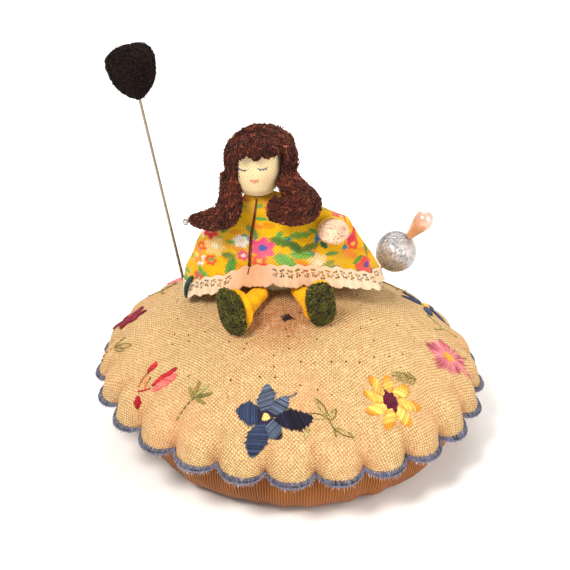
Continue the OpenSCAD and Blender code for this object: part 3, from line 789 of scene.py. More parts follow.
def blue_flower_shape(rng):
    sets = []
    for turn, length, width, tint in (
        (-8, 10.6, 6.7, PALE_BLUE), (-86, 9.0, 8.2, SLATE), (-172, 13.0, 6.3, SLATE),
        (142, 8.0, 6.2, PALE_BLUE), (42, 9.4, 6.2, PALE_BLUE),
    ):
        petal = satin_leaf(rng, (0, 0), turn, length, width, tint, 16, 0.42, 0.1, 0.2, 0.72)
        petal[2][:] = mottle(rng, tint, len(petal[2]), 0.34)
        near = np.linalg.norm(petal[0][:, 3], axis=1) < 2.3
        petal[2][near] = mottle(rng, shade(44, 38, 60), near.sum())
        sets.append(petal)
    sets.append(satin_leaf(rng, (2.6, -0.8), 86, 11.4, 8.0, NAVY, 18, 0.42, 0, 0.2, 0.85))
    sets[-1][2][rng.random(len(sets[-1][2])) < 0.25] *= 1.9
    sets.append(line_of(rng, ((5.6, 6.6), (8.2, 6.8), (9.6, 8.2)), PALE_BLUE, 0.9, 1.0))
    centre = knot(rng, (0.3, 0.1), 1.25, shade(250, 206, 120), 24)
    return [sewn(-9, 36.4, sets), sewn(-9, 36.4, [centre], 1.35)]


def green_sprig_shape(rng):
    sets = []
    for root, turn, length, out in (((0, 0), -74, 6.4, 1.8), ((0.4, 0.6), -24, 6.8, 1.5), ((0.8, -1), 34, 4.6, 1.4),
                                    ((1.2, -3.4), 128, 6.2, 1.5)):
        d = np.radians(turn)
        tip = np.array(root) + length * np.array([np.sin(d), np.cos(d)])
        side = np.array([np.cos(d), -np.sin(d)])
        for out_side in (-1, 1):
            middle = (np.array(root) + tip) / 2 + side * out * out_side
            sets.append(line_of(rng, (root, middle, tip), SAGE if out_side < 0 else MOSS, 1.0, 0.9))
    sets += [satin_leaf(rng, (-5.6, -2.2), 200, 3.6, 1.6, SAGE, 60, 0.45)]
    sets += [line_of(rng, ((0, 0), (1.2, -2.4), (1.4, -6.6)), MOSS, 1.1, 0.8)]
    return [sewn(13, 37, sets, 0.8)]


def yellow_daisy_shape(rng):
    sets = []
    for i, length in enumerate((6.3, 6.0, 6.4, 6.6, 6.2, 6.8, 6.4, 5.6)):
        turn = -12 + 45 * i
        tint = np.array(YELLOW) * 0.7 + np.array(AMBER) * 0.3 if i % 2 else np.array(YELLOW)
        petal = satin_leaf(rng, (0, 0), turn, length, 4.6, tint, 30, 0.4, 2.6, 0, 0.42)
        outer = np.linalg.norm(petal[0][:, 3], axis=1) > 7.4
        petal[2][outer] = mottle(rng, AMBER, outer.sum())
        sets.append(petal)
    heart = [satin_leaf(rng, (0, -3.4), 0, 6.8, 6.4, MAROON, 30, 0.34, 0, 0, 0.5), knot(rng, (0, 0), 1.9, MAROON, 26)]
    leaf = []
    for i in range(6):
        y = 0.2 + i * 1.15
        for side in (-1, 1):
            leaf.append(line_of(rng, ((side * 0.2, y), (side * 1.2, y + 0.6), (side * (2.2 - 0.15 * i), y + 1.6)),
                                SAGE if i % 2 else OLIVE, 1.4, 1.0))
    leaf.append(line_of(rng, ((0, -0.6), (0.2, 4), (0, 8.4)), OLIVE, 1.3, 1.0))
    return [sewn(39, 36.4, sets, 1.05), sewn(39, 36.4, heart), sewn(56, 35, spun(leaf, 56.5), 0.8)]


def pink_daisy_shape(rng):
    sets = []
    for i, length in enumerate((8.6, 7.2, 9.6, 7.4, 8.8, 10.2, 7.0, 8.4, 9.8, 7.6)):
        tint = ROSE if i % 2 else DEEP_ROSE
        sets.append(rays(rng, np.zeros(2), 36 * i, length, 4.4, tint, 7))
        sets.append(rays(rng, np.zeros(2), 36 * i + 6, length * 0.8, 3.2, ROSE, 4))
    centre = [rays(rng, np.zeros(2), 60 * i, 2.9, 2.2, ORANGE, 4, 0.2) for i in range(6)]
    return [sewn(81, 38.5, sets, 0.85), sewn(81, 38.5, centre, 0.8)]


def back_flowers_shape(rng):
    shapes = []
    for az, tint, inner, count, length in (
        (118, SLATE, YELLOW, 5, 7.6), (152, AMBER, MAROON, 8, 5.4), (-172, CORAL, ORANGE, 5, 7.4),
        (-138, ROSE, YELLOW, 8, 5.6),
    ):
        sets = [satin_leaf(rng, (0, 0), 360 * i / count, length, 3.9, tint, 28, 0.42, 1.8, 0, 0.55)
                for i in range(count)]
        shapes.append(sewn(az, 38, sets))
        shapes.append(sewn(az, 38, [knot(rng, (0, 0), 1.3, inner, 18)]))
    return shapes


def back_leaves_shape(rng):
    shapes = []
    for az, tint in ((101, SAGE), (135, OLIVE), (170, MOSS), (-155, SAGE), (-122, OLIVE)):
        sets = [satin_leaf(rng, (0, 0), turn, 5.6, 1.8, tint, 60, 0.42, 0.3) for turn in (-48, 42)]
        sets.append(line_of(rng, ((0, 0), (0.6, -2.6), (0, -6.4)), tint, 1.4, 0.8))
        shapes.append(sewn(az, 38, sets, 0.75))
    return shapes


# ---------------------------------------------------------------- fibres


def sprout(rng, roots, normals, lean, length, radius, tint, wiggle=0.3, points=5, sides=4, spread=0.3):
    """Short curved fibres: each leaves its root along the normal, bends to its own lean direction and
    wanders sideways by a sine of random phase."""
    n = len(roots)
    t = np.linspace(0, 1, points)[None, :, None]
    reach = length * rng.uniform(0.7, 1.2, (n, 1, 1))
    way = unit(normals + spread * rng.standard_normal((n, 3)))
    bend = np.broadcast_to(lean, (n, 3)) + 0.35 * rng.standard_normal((n, 3))
    phase = rng.uniform(0, TURN, (n, 1, 1))
    side = unit(np.cross(way, bend + 0.01))[:, None]
    paths = (roots[:, None] + way[:, None] * reach * t * (1 - 0.45 * t) + bend[:, None] * reach * t**1.5
             + side * wiggle * reach * np.sin(phase + t * 7))
    radii = radius * np.linspace(1, 0.55, points)[None] * rng.uniform(0.7, 1.2, (n, 1))
    return tube_shape(paths, radii, mottle(rng, tint, n, 0.25), sides)


def curls(rng, roots, normals, flow, length, radius, tint, loops=1.6, swing=0.45, points=9, sides=4, hug=0.0, spread=0.28):
    """Looped wool: each strand runs along flow on the surface while it winds in a helix about that line. It
    bends down by hug * (distance from its middle)^2, so that it follows a rounded form."""
    n = len(roots)
    t = np.linspace(0, 1, points)[None, :, None]
    way = unit(flow + 0.35 * rng.standard_normal((n, 3)))
    side = unit(np.cross(normals, way))
    reach = length * rng.uniform(0.6, 1.2, (n, 1, 1))
    phase = rng.uniform(0, TURN, (n, 1, 1))
    wide = swing * rng.uniform(0.6, 1.3, (n, 1, 1))
    arch = np.sin(np.pi * t)
    angle = phase + t * TURN * loops
    fall = hug * (reach * (t - 0.5)) ** 2
    paths = (roots[:, None] + way[:, None] * reach * (t - 0.5) + normals[:, None] * (0.55 * arch - 0.2 - fall)
             + side[:, None] * wide * np.sin(angle) + normals[:, None] * wide * np.cos(angle) * 0.8)
    radii = np.repeat(radius * rng.uniform(0.75, 1.25, (n, 1)), points, 1)
    radii[:, [0, -1]] *= 0.5
    return tube_shape(paths, radii, mottle(rng, tint, n, spread), sides)


def swept(path, widths, depths, cols=28, side=(1, 0, 0), tint=(1, 1, 1), close=(True, True)):
    """An oval section carried along a path. Each ring is path + width * cos t * side + depth * sin t * over."""
    path = np.asarray(path, float)
    along = unit(np.gradient(path, axis=0))
    across = unit(np.asarray(side, float) - along * (along @ np.asarray(side, float))[:, None])
    over = np.cross(along, across)
    t = TURN * np.arange(cols) / cols
    grid = (path[:, None] + np.asarray(widths)[:, None, None] * np.cos(t)[None, :, None] * across[:, None]
            + np.asarray(depths)[:, None, None] * np.sin(t)[None, :, None] * over[:, None])
    length = np.r_[0, np.linalg.norm(np.diff(path, axis=0), axis=1).cumsum()]
    girth = TURN * np.mean(widths)
    uv = np.stack(np.broadcast_arrays(length[:, None], girth * np.arange(cols + 1)[None] / cols), -1)
    return sheet_shape(grid, tint, True, close, uv)


def curve_through(points, count):
    """A smooth path through given points, by cubic steps between them (Catmull-Rom)."""
    p = np.asarray(points, float)
    p = np.vstack([2 * p[0] - p[1], p, 2 * p[-1] - p[-2]])
    u = np.linspace(0, len(points) - 1 - 1e-9, count)
    i = u.astype(int)
    t = (u - i)[:, None]
    a, b, c, d = p[i], p[i + 1], p[i + 2], p[i + 3]
    return 0.5 * (2 * b + (c - a) * t + (2 * a - 5 * b + 4 * c - d) * t**2 + (3 * b - a - 3 * c + d) * t**3)


def spread_on(rng, shape, count):
    """Random points on a shape's quads, with the outward normals there."""
    points, quads = shape[0], shape[1][0]
    a, b, c, d = (points[quads[:, i]] for i in range(4))
    normal = np.cross(c - a, d - b)
    area = np.linalg.norm(normal, axis=1)
    pick = rng.choice(len(quads), count, p=area / area.sum())
    u, v = rng.random((2, count, 1))
    place = (a[pick] * (1 - u) + b[pick] * u) * (1 - v) + (d[pick] * (1 - u) + c[pick] * u) * v
    return place, unit(normal[pick])


# ---------------------------------------------------------------- the doll's dress

DRESS_RINGS = np.array([
    [40, -0.4, 7.5, 32.6, 14.5],
    [55, -2.2, 6.5, 30.2, 12],
    [64.5, -3, 5.5, 26.7, 9.5],
    [69.5, -3, 5, 24, 8],
    [75, -2.5, 4.5, 18.5, 6],
    [79.0, -4.6, 4, 13, 5.0],
    [82.0, -7.6, 4, 7.4, 4.2],
    [84.0, -10.2, 4, 3.3, 3.3],
])
ARCH = {"left": 50, "right": 84, "x": -2, "top": 56.1, "back": 9}


def dress_ring(z):
    """Middle and half sizes of the dress at each height, between the rings."""
    return [np.interp(z, DRESS_RINGS[:, 0], DRESS_RINGS[:, i]) for i in range(1, 5)]


def dress_at(phi, z, out=0.0):
    """The dress at angle phi round it (0 at the front) and height z, with soft folds that grow to the hem."""
    cx, cy, w, d = dress_ring(z)
    low = smooth((76 - z) / 30)
    fold = low * (0.7 * np.sin(7 * phi + 0.6) + 0.55 * np.sin(11 * phi + 2.1) + 0.4 * np.sin(17 * phi))
    crease = 0.4 * np.sin(5 * phi + z / 3.1) * smooth((79 - z) / 6)
    return np.stack(np.broadcast_arrays(
        cx + (w + fold + crease + out) * np.sin(phi), cy - (d + 0.9 * fold + crease + out) * np.cos(phi), z
    ), -1)


def hem_height(phi):
    """Where the hem ends: over the legs on an arch in front, on the dome behind."""
    z = np.full_like(phi, 50.0)
    big, top = dome_radius(), sizes().dome_height / MM
    for _ in range(6):
        p = dress_at(phi, z)
        rest = top - big + np.sqrt(big**2 - p[:, 0] ** 2 - p[:, 1] ** 2) + 1.2
        bow = np.where(p[:, 0] < ARCH["x"], ARCH["left"], ARCH["right"])
        arch = ARCH["top"] - bow + np.sqrt(bow**2 - (p[:, 0] - ARCH["x"]) ** 2)
        front = 1 - smooth((p[:, 1] - ARCH["back"]) / 5)
        z = np.maximum(rest, arch * front + rest * (1 - front))
    return z


PRINT_MOTIFS = [
    # x, z, size, petal colour, middle colour, kind
    (-8.6, 64.5, 3.7, shade(232, 78, 128), shade(40, 78, 168), "flower"),
    (24.6, 55.0, 3.2, shade(238, 84, 70), shade(96, 60, 150), "flower"),
    (20.4, 67.6, 3.6, shade(232, 60, 82), shade(236, 116, 120), "flower"),
    (15.2, 73.6, 2.8, shade(240, 110, 140), shade(250, 180, 150), "flower"),
    (-24.4, 63.0, 3.4, shade(246, 202, 122), shade(250, 232, 190), "flower"),
    (-14.8, 61.0, 1.9, shade(238, 84, 120), shade(250, 240, 230), "flower"),
    (8.8, 58.6, 3.0, shade(246, 210, 150), shade(250, 226, 190), "flower"),
    (30.0, 61.4, 2.8, shade(240, 130, 60), shade(250, 200, 90), "flower"),
    (-31.0, 58.0, 2.8, shade(240, 150, 60), shade(250, 220, 110), "flower"),
    (-15.2, 66.6, 2.4, shade(250, 244, 236), shade(250, 226, 190), "flower"),
    (-1.0, 59.6, 4.2, shade(112, 176, 74), shade(84, 142, 70), "leaf"),
    (3.6, 61.8, 3.8, shade(132, 188, 84), shade(84, 142, 70), "leaf"),
    (-18.6, 57.0, 3.2, shade(94, 152, 62), shade(70, 120, 60), "leaf"),
    (-11.8, 71.4, 2.8, shade(120, 150, 60), shade(90, 120, 50), "leaf"),
    (3.0, 69.4, 3.6, shade(130, 170, 62), shade(90, 130, 50), "leaf"),
    (14.6, 55.6, 2.2, shade(40, 130, 130), shade(60, 160, 150), "leaf"),
    (8.4, 67.8, 2.6, shade(38, 128, 184), shade(30, 96, 150), "streak"),
    (10.6, 64.8, 2.0, shade(40, 100, 60), shade(30, 90, 60), "leaf"),
    (19.0, 60.2, 3.0, shade(250, 150, 50), shade(244, 120, 50), "leaf"),
    (21.6, 57.4, 1.8, shade(110, 160, 70), shade(80, 120, 60), "leaf"),
    (13.4, 61.0, 2.0, shade(100, 150, 70), shade(80, 120, 60), "leaf"),
    (-26.8, 68.0, 3.0, shade(226, 60, 60), shade(240, 120, 100), "flower"),
    (-21.0, 70.0, 2.2, shade(110, 150, 60), shade(80, 120, 60), "leaf"),
    (-3.2, 66.8, 3.4, shade(96, 128, 52), shade(70, 96, 44), "leaf"),
    (1.6, 64.6, 3.2, shade(84, 118, 54), shade(60, 90, 50), "leaf"),
    (6.2, 64.2, 3.0, shade(116, 132, 50), shade(84, 96, 44), "leaf"),
    (-4.6, 57.0, 2.6, shade(70, 104, 56), shade(56, 84, 50), "leaf"),
    (-19.6, 60.6, 2.4, shade(120, 140, 60), shade(90, 110, 50), "leaf"),
    (12.0, 57.4, 2.6, shade(150, 156, 60), shade(120, 130, 60), "leaf"),
    (26.4, 59.0, 2.4, shade(128, 150, 66), shade(90, 120, 60), "leaf"),
]


def print_colours(flat, ground, seed=5):
    """The printed cotton as a colour at each flat place. A flower's edge is size * (1 + 0.16 cos 6 angle), a
    leaf's is a slanted oval; blots of lighter and deeper yellow lie between them."""
    rng = np.random.default_rng(seed)
    x, z = flat[..., 0], flat[..., 1]
    wave = np.sin(x * 0.42 + 2 * np.sin(z * 0.3)) * np.sin(z * 0.5 + x * 0.13 + 1.2)
    out = np.array(ground) * (1 + 0.12 * wave)[..., None]
    warm = smooth((wave - 0.45) / 0.4)[..., None]
    out = out * (1 - warm * 0.6) + np.array(shade(226, 118, 24)) * warm * 0.6
    kinds = [(shade(232, 78, 128), shade(60, 70, 160), "flower"), (shade(238, 84, 60), shade(250, 200, 90), "flower"),
             (shade(112, 172, 74), shade(84, 132, 60), "leaf"), (shade(40, 130, 150), shade(40, 110, 120), "leaf"),
             (shade(248, 240, 226), shade(246, 180, 120), "flower"), (shade(248, 150, 50), shade(240, 110, 50), "leaf")]
    motifs = []
    for i in range(150):
        a, b, kind = kinds[i % len(kinds)] if i % 3 else kinds[2]
        side = 1 if i % 2 else -1
        motifs.append((side * rng.uniform(27, 74), rng.uniform(42, 98), rng.uniform(1.6, 3.6), a, b, kind))
    for i in range(110):
        a, b, kind = kinds[(i * 5 + 2) % len(kinds)] if i % 2 else kinds[2 + i % 4 // 2]
        motifs.append((rng.uniform(-34, 34), rng.uniform(50, 97), rng.uniform(1.1, 2.6), a, b, kind))
    motifs += [(m[0], m[1] + 4.2, *m[2:]) for m in PRINT_MOTIFS]
    for mx, mz, big, petal, middle, kind in motifs:
        dx, dz = x - mx, z - mz
        turn = mx * 1.7 + mz
        if kind != "flower":
            long = 0.45 if kind == "leaf" else 0.3
            dx, dz = dx * np.cos(turn) + dz * np.sin(turn), (dz * np.cos(turn) - dx * np.sin(turn)) / long
        r, angle = np.hypot(dx, dz), np.arctan2(dz, dx)
        lobes = 0.16 * np.cos(6 * angle + turn) if kind == "flower" else 0.1 * np.cos(9 * angle)
        speck = 0.1 * np.sin(x * 9 + mz) * np.sin(z * 9)
        inside = 1 - smooth((r / big - 1 - lobes - speck + 0.12) / 0.22)
        ray = 1 + 0.14 * np.sin(angle * 13 + mx) * smooth(r / big)
        out = out * (1 - inside[..., None]) + np.array(petal) * np.clip(ray, 0, 1.2)[..., None] * inside[..., None]
        centre = 1 - smooth((r / big - 0.3 - speck) / 0.1)
        if kind == "flower":
            out = out * (1 - centre[..., None]) + np.array(middle) * centre[..., None]
        else:
            vein = (1 - smooth(np.abs(dz) / big / 0.14)) * inside
            out = out * (1 - vein[..., None]) + np.array(middle) * vein[..., None]
    return np.clip(out, 0, 1)


def print_place(phi, z):
    """Flat cloth coordinates of the dress: width times the arc length of a flat ellipse to each side of the
    front, and distance down the cloth, counted so that it equals the height near the hem."""
    cx, _, w, _ = dress_ring(z)
    phi = (phi + np.pi) % TURN - np.pi
    turn = np.linspace(0, np.pi, 200)
    arc = np.r_[0, np.cumsum(np.sqrt(1 - 0.86 * np.sin(turn[1:]) ** 2)) * turn[1]]
    x = cx + w * np.sign(phi) * np.interp(np.abs(phi), turn, arc)
    rings = DRESS_RINGS[::-1]
    down = np.r_[0, np.hypot(np.diff(rings[:, 0]), np.diff(rings[:, 3])).cumsum()]
    return np.stack(np.broadcast_arrays(x, 95.8 - np.interp(-z, -rings[:, 0], down)), -1)


# ---------------------------------------------------------------- operators


class PinCushionOperator:
    """What every operator here shares."""

    bl_options = {"REGISTER", "UNDO"}

    def execute(self, context):
        self.build()
        return {"FINISHED"}


class PINCUSHION_OT_base(PinCushionOperator, bpy.types.Operator):
    """Stuffed base in ribbed cloth: a profile turned round the middle, with soft wrinkles up its side"""

    bl_idname = "pincushion.base"
    bl_label = "Base"

    def build(self):
        cols = 300
        a = TURN * np.arange(cols) / cols
        flat = np.linspace(0.02, 43, 14)
        side = np.radians(np.linspace(180, 62, 44))[1:]
        inner = np.linspace(0, 1, 12)[1:]
        r = np.r_[flat, 43 + 12 * np.sin(side), 53.6 - 20 * inner]
        z = np.r_[np.zeros(14), 12 + 12 * np.cos(side), 17.6 + 13 * np.sin(inner * np.pi / 2)]
        puff = np.r_[np.zeros(14), np.sin(np.linspace(0, np.pi, 43)), np.zeros(11)]
        wrinkle = (0.35 * np.sin(9 * a + 1) + 0.3 * np.sin(23 * a + 2 * np.sin(3 * a)) + 0.25 * np.sin(41 * a))
        grid_r = r[:, None] + puff[:, None] * (0.5 + wrinkle[None])
        slump = puff[:, None] * 0.35 * np.sin(31 * a + z[:, None] / 3)[:, :]
        x, y = 2.4 + 0.955 * grid_r * np.sin(a), -0.965 * grid_r * np.cos(a)
        grid = np.stack([x, y, np.maximum(z[:, None] + slump, 0) + 0 * a], -1)
        length = np.r_[0, np.hypot(np.diff(r), np.diff(z)).cumsum()]
        uv = np.stack(np.broadcast_arrays(57 * TURN * np.arange(cols + 1) / cols, length[:, None]), -1)
        shape = sheet_shape(grid, colours().base, True, (True, True), uv)
        made = piece("cushion_base", shape, base_material(), "cushion", ("base_cover", "stuffing"))


class PINCUSHION_OT_cover(PinCushionOperator, bpy.types.Operator):
    """Embroidered linen top: the dome surface out to its scalloped rim"""

    bl_idname = "pincushion.cover"
    bl_label = "Top cover"

    def build(self):
        per_scallop = 16
        cols = sizes().scallops * per_scallop
        a = TURN * np.arange(cols) / cols
        q = np.r_[np.linspace(0.3, 48, 34), np.linspace(49, cloth_end(), 56)]
        grid = cover_point(a[None], q[:, None])
        notch = np.abs(scallop_offset(a)) / (np.pi / sizes().scallops)
        # Painted shade: the cloth is darkened to its fold colour towards the scallop notches near the rim, where shade
        # falls in the gathers.
        depth = smooth((q - 50) / 22)[:, None] * smooth((notch - 0.45) / 0.55)[None]
        pale, fold = np.array(colours().linen), np.array(colours().linen_gather_shade)
        # Painted shadow with some stain: the cloth turns dark brown round the doll's legs, where the doll's shadow
        # falls.
        doll_shadow_and_stain = (1 - smooth((np.linalg.norm(grid[..., :2] - np.array([-3, -12]), axis=-1) - 4) / 15)) * 0.8
        gather_shade = np.clip(depth * 0.8, 0, 1)[..., None]
        wide = np.append(a, TURN)
        uv = np.stack([q[:, None] * np.sin(wide), -q[:, None] * np.cos(wide)], -1)
        tint = pale * (1 - gather_shade) + fold * gather_shade
        # Lays the painted shadow and stain under the doll over the cloth colour.
        tint += (np.array(shade(178, 108, 66)) - tint) * doll_shadow_and_stain[..., None]
        shape = sheet_shape(grid, tint, True, (True, False), uv)
        made = piece("linen_cover", shape, linen_material(), "cushion", ("top_cover",), sizes().cloth)


class PINCUSHION_OT_edging(PinCushionOperator, bpy.types.Operator):
    """Blanket stitch: thread loops over the rim side by side, a laid edge cord and loose pale fibres"""

    bl_idname = "pincushion.edging"
    bl_label = "Scallop stitching"

    def build(self):
        rng = np.random.default_rng(11)
        dense = np.linspace(0, TURN, 9601)
        rim = cover_point(dense, cloth_end())
        length = np.r_[0, np.linalg.norm(np.diff(rim, axis=0), axis=1).cumsum()]
        count = int(length[-1] / 0.5)
        a = np.interp((np.arange(count) + 0.5) * length[-1] / count, length, dense)
        reach = 1.5 + 0.16 * rng.standard_normal(count)
        end = cloth_end()
        up = cover_normal(a, end - 0.5)
        out = unit(cover_point(a, end) - cover_point(a, end - 0.6))
        lean = rng.normal(0, 0.003, count)
        path = np.stack([
            cover_point(a + lean, end - reach) - up * 0.15,
            cover_point(a + lean, end - reach * 0.75) + up * 0.26,
            cover_point(a, end - reach * 0.3) + up * 0.4,
            cover_point(a, end) + out * 0.2 + up * 0.3,
            cover_point(a, end) + out * 0.42 - up * 0.25,
            cover_point(a, end) + out * 0.2 - up * 0.9,
            cover_point(a, end - 1.0) - up * 1.1,
        ], 1)
        tint = np.array(colours().edging)
        loops = tube_shape(path, 0.24, mottle(rng, tint, count, 0.28), 6)
        ring = np.linspace(0, length[-1], 1700, endpoint=False)
        ra = np.interp(ring, length, dense)
        rup, rout = cover_normal(ra, end - 0.5), unit(cover_point(ra, end) - cover_point(ra, end - 0.6))
        cords = []
        for turn in (0, np.pi):
            angle = ring / 0.85 * TURN / 2 + turn
            line = (cover_point(ra, end) + rout * (0.5 + 0.2 * np.cos(angle))[:, None]
                    + rup * (0.05 + 0.2 * np.sin(angle))[:, None])
            line = np.vstack([line, line[:1]])
            cords.append(tube_shape(line[None], 0.25, mottle(rng, tint * 1.3, 1, 0.05), 6))
        n = 1500
        fa = np.interp(rng.uniform(0, length[-1], n), length, dense)
        fout = unit(cover_point(fa, end) - cover_point(fa, end - 0.6))
        root = cover_point(fa, end) + fout * 0.85 - cover_normal(fa, end - 0.5) * rng.uniform(0, 0.6, (n, 1))
        fibres = sprout(rng, root, fout, np.array([0, 0, -0.5]), 0.85, 0.06, shade(226, 216, 214), 0.2, 4, 3, 0.5)
        piece("scallop_stitching", join([loops, *cords, fibres]), thread_material("Edging thread", 0.7, 0.5),
              "cushion", ("scallop_edging",))


class PINCUSHION_OT_flowers(PinCushionOperator, bpy.types.Operator):
    """Embroidered flowers and leaves, each stitch a thread that follows the cloth"""

    bl_idname = "pincushion.flowers"
    bl_label = "Embroidery"

    def build(self):
        thread = thread_material("Embroidery thread")
        for number, (name, make, slot) in enumerate((
            ("red_flower", red_flower_shape, "dark_red_thread"),
            ("coral_flower", coral_flower_shape, "coral_thread"),
            ("olive_sprig", olive_sprig_shape, "olive_thread"),
            ("blue_flower", blue_flower_shape, "blue_thread"),
            ("green_sprig", green_sprig_shape, "green_thread"),
            ("yellow_daisy", yellow_daisy_shape, "yellow_thread"),
            ("pink_daisy", pink_daisy_shape, "pink_thread"),
            ("back_flowers", back_flowers_shape, "rose_thread"),
            ("back_leaves", back_leaves_shape, "leaf_thread"),
        )):
            shape = join(make(np.random.default_rng(100 + number)))
            piece(f"{name}_stitches", shape, thread, "cushion", (name,))


class PINCUSHION_OT_tie(PinCushionOperator, bpy.types.Operator):
    """Dark thread ends knotted through the cloth in front of the doll"""

    bl_idname = "pincushion.tie"
    bl_label = "Tie knot"

    def build(self):
        rng = np.random.default_rng(21)
        knots = knot(rng, (0, 0), 1.5, shade(46, 30, 28), 16)
        tails = line_of(rng, ((0, 0), (1.6, 0.8), (2.4, -0.9)), shade(58, 38, 34), 1.5, 1.0)
        more = line_of(rng, ((0, 0), (-1.2, 0.9), (-2.0, 0.2)), shade(70, 50, 44), 1.5, 1.0)
        shape = sewn(-5, 9.2, [knots, tails, more], 0.8)
        piece("tie_thread", shape, thread_material("Dark thread", 0.6), "cushion", ("tie_knot",))


class PINCUSHION_OT_dress(PinCushionOperator, bpy.types.Operator):
    """Printed cotton dress with its front edge, its sleeve lining and the lace sewn under its hem"""

    bl_idname = "pincushion.dress"
    bl_label = "Dress and lace"

    def build(self):
        cotton = cotton_material("Printed cotton", 0.62, 0.85)
        cols, rows = 300, 96
        phi = TURN * np.arange(cols) / cols
        hem = hem_height(phi)
        top = DRESS_RINGS[-1, 0]
        t = np.linspace(0, 1, rows)[:, None]
        z = top + (hem[None] - top) * t
        grid = dress_at(phi[None], z)
        tint = print_colours(print_place(phi[None] + 0 * z, z), colours().print_ground)
        wide = np.append(phi, TURN)
        uv = np.stack([25 * wide[None] + 0 * t, np.concatenate([z, z[:, :1]], 1)], -1)
        made = piece("dress_cloth", sheet_shape(grid, tint, True, (False, False), uv), cotton,
                     "cushion", ("dress",), 0.00035)
        self.front_edge()
        self.lace()
        self.lining()

    @staticmethod
    def area(grid):
        """Sum of the quads' areas, half the cross product of each one's diagonals."""
        g = np.concatenate([grid, grid[:, :1]], 1)
        return float(np.linalg.norm(np.cross(g[1:, 1:] - g[:-1, :-1], g[1:, :-1] - g[:-1, 1:]), axis=-1).sum() / 2)

    @staticmethod
    def front_edge():
        z = np.linspace(83.4, 58.6, 60)
        x = np.interp(z, [56, 62, 70, 83], [-14.4, -12.8, -12.0, -10.4])
        cx, _, w, _ = dress_ring(z)
        phi = np.arcsin(np.clip((x - cx) / w, -1, 1))
        line = dress_at(phi, z, 0.12)
        # The dark red of the edge tube is the folded edge deepened with painted shade; the thinner, darker tube beside
        # it is a painted shadow of the fold.
        edge = tube_shape(line[None], 0.34, shade(112, 26, 26), 8)
        shadow = tube_shape((dress_at(phi - 0.02, z, 0.02))[None], 0.22, shade(60, 14, 14), 6)
        piece("front_edge", join([edge, shadow]), cotton_material("Folded edge", 0.3), "cushion",
              ("front_piping",))

    @staticmethod
    def lace():
        cols, rows = 900, 22
        phi = TURN * np.arange(cols) / cols
        hem = hem_height(phi)
        hem_line = dress_at(phi, hem)
        along = np.r_[0, np.linalg.norm(np.diff(np.vstack([hem_line, hem_line[:1]]), axis=0), axis=1).cumsum()]
        s, girth = along[:-1], along[-1]
        v = np.linspace(0, 1, rows)[:, None]
        wide = sizes().lace_width / MM
        waves = round(girth / 9.5)
        phase = TURN * waves * s / girth
        ruffle = 0.55 * np.sin(phase) + 0.35 * np.sin(phase * 2 + 1)
        front = np.cos(phi) > 0
        tall = wide * np.where(front, 0.72 + 0.28 * np.abs(np.cos(phi)), 0.72)
        start = hem + tall * 0.92 + 0.35 * np.sin(phase * 2)
        z = start[None] - tall * 0.97 * v
        grid = dress_at(phi[None], np.maximum(z, 40.2), 0.4 + v**1.4 * (0.5 + 0.8 * ruffle[None]))
        big, top = dome_radius(), sizes().dome_height / MM
        floor = top - big + np.sqrt(np.maximum(big**2 - grid[..., 0] ** 2 - grid[..., 1] ** 2, 0)) + 0.6
        grid[..., 2] = np.maximum(z, floor)
        keep = np.ones((rows, cols), bool)
        vv = v * wide + 0 * s[None]
        for row_at, gap, hole in ((1.5, 2.6, 0.52), (2.6, 1.7, 0.3), (3.5, 2.6, 0.5)):
            count = round(girth / gap)
            offset = (s[None] / girth * count + row_at) % 1 - 0.5
            across = offset * girth / count
            twin = np.minimum(np.hypot(across - hole * 0.8, vv - row_at), np.hypot(across + hole * 0.8, vv - row_at))
            keep &= twin > hole * 0.8
        plain = np.exp(-(((hem_line[:, 0] + 12) / 8) ** 2)) * (np.cos(phi) > 0)
        keep |= (plain > 0.5)[None]
        edge = wide - 0.55 + 0.5 * np.abs(np.sin(TURN * round(girth / 3.2) * s / girth / 2))
        keep &= vv < edge[None]
        pick = np.array(colours().lace)
        tone = 1 + 0.1 * np.sin(s * 2.1)[None, :, None] * v[..., None]
        pink = np.maximum(0.4 * smooth((np.sin(s / 14 + 1.4) - 0.2) / 0.6), 0.85 * plain)[None, :, None]
        tint = np.clip(pick * tone * (1 - pink) + pink * np.array(shade(226, 168, 124)), 0, 1)
        corner_s = np.append(s, girth)
        uv = np.stack(np.broadcast_arrays(corner_s[None], v * wide), -1)
        shape = sheet_shape(grid, tint, True, (False, False), uv, keep)
        made = piece("lace_band", shape, cotton_material("Cotton lace", 0.3, 0.4, 0.9), "cushion",
                     ("lace_trim",), 0.00022)

    @staticmethod
    def lining():
        path = curve_through([(-30.8, 4.6, 53.4), (-32.4, 4.2, 51.4), (-33.2, 4.6, 48.8), (-33.2, 5.6, 46.2)], 18)
        shape = swept(path, np.linspace(1.3, 2.1, 18), np.linspace(0.5, 0.8, 18), 20, (0, 1, 0), shade(14, 62, 60))
        piece("sleeve_lining_cloth", shape, cotton_material("Lining", 0.3), "cushion", ("sleeve_lining",))


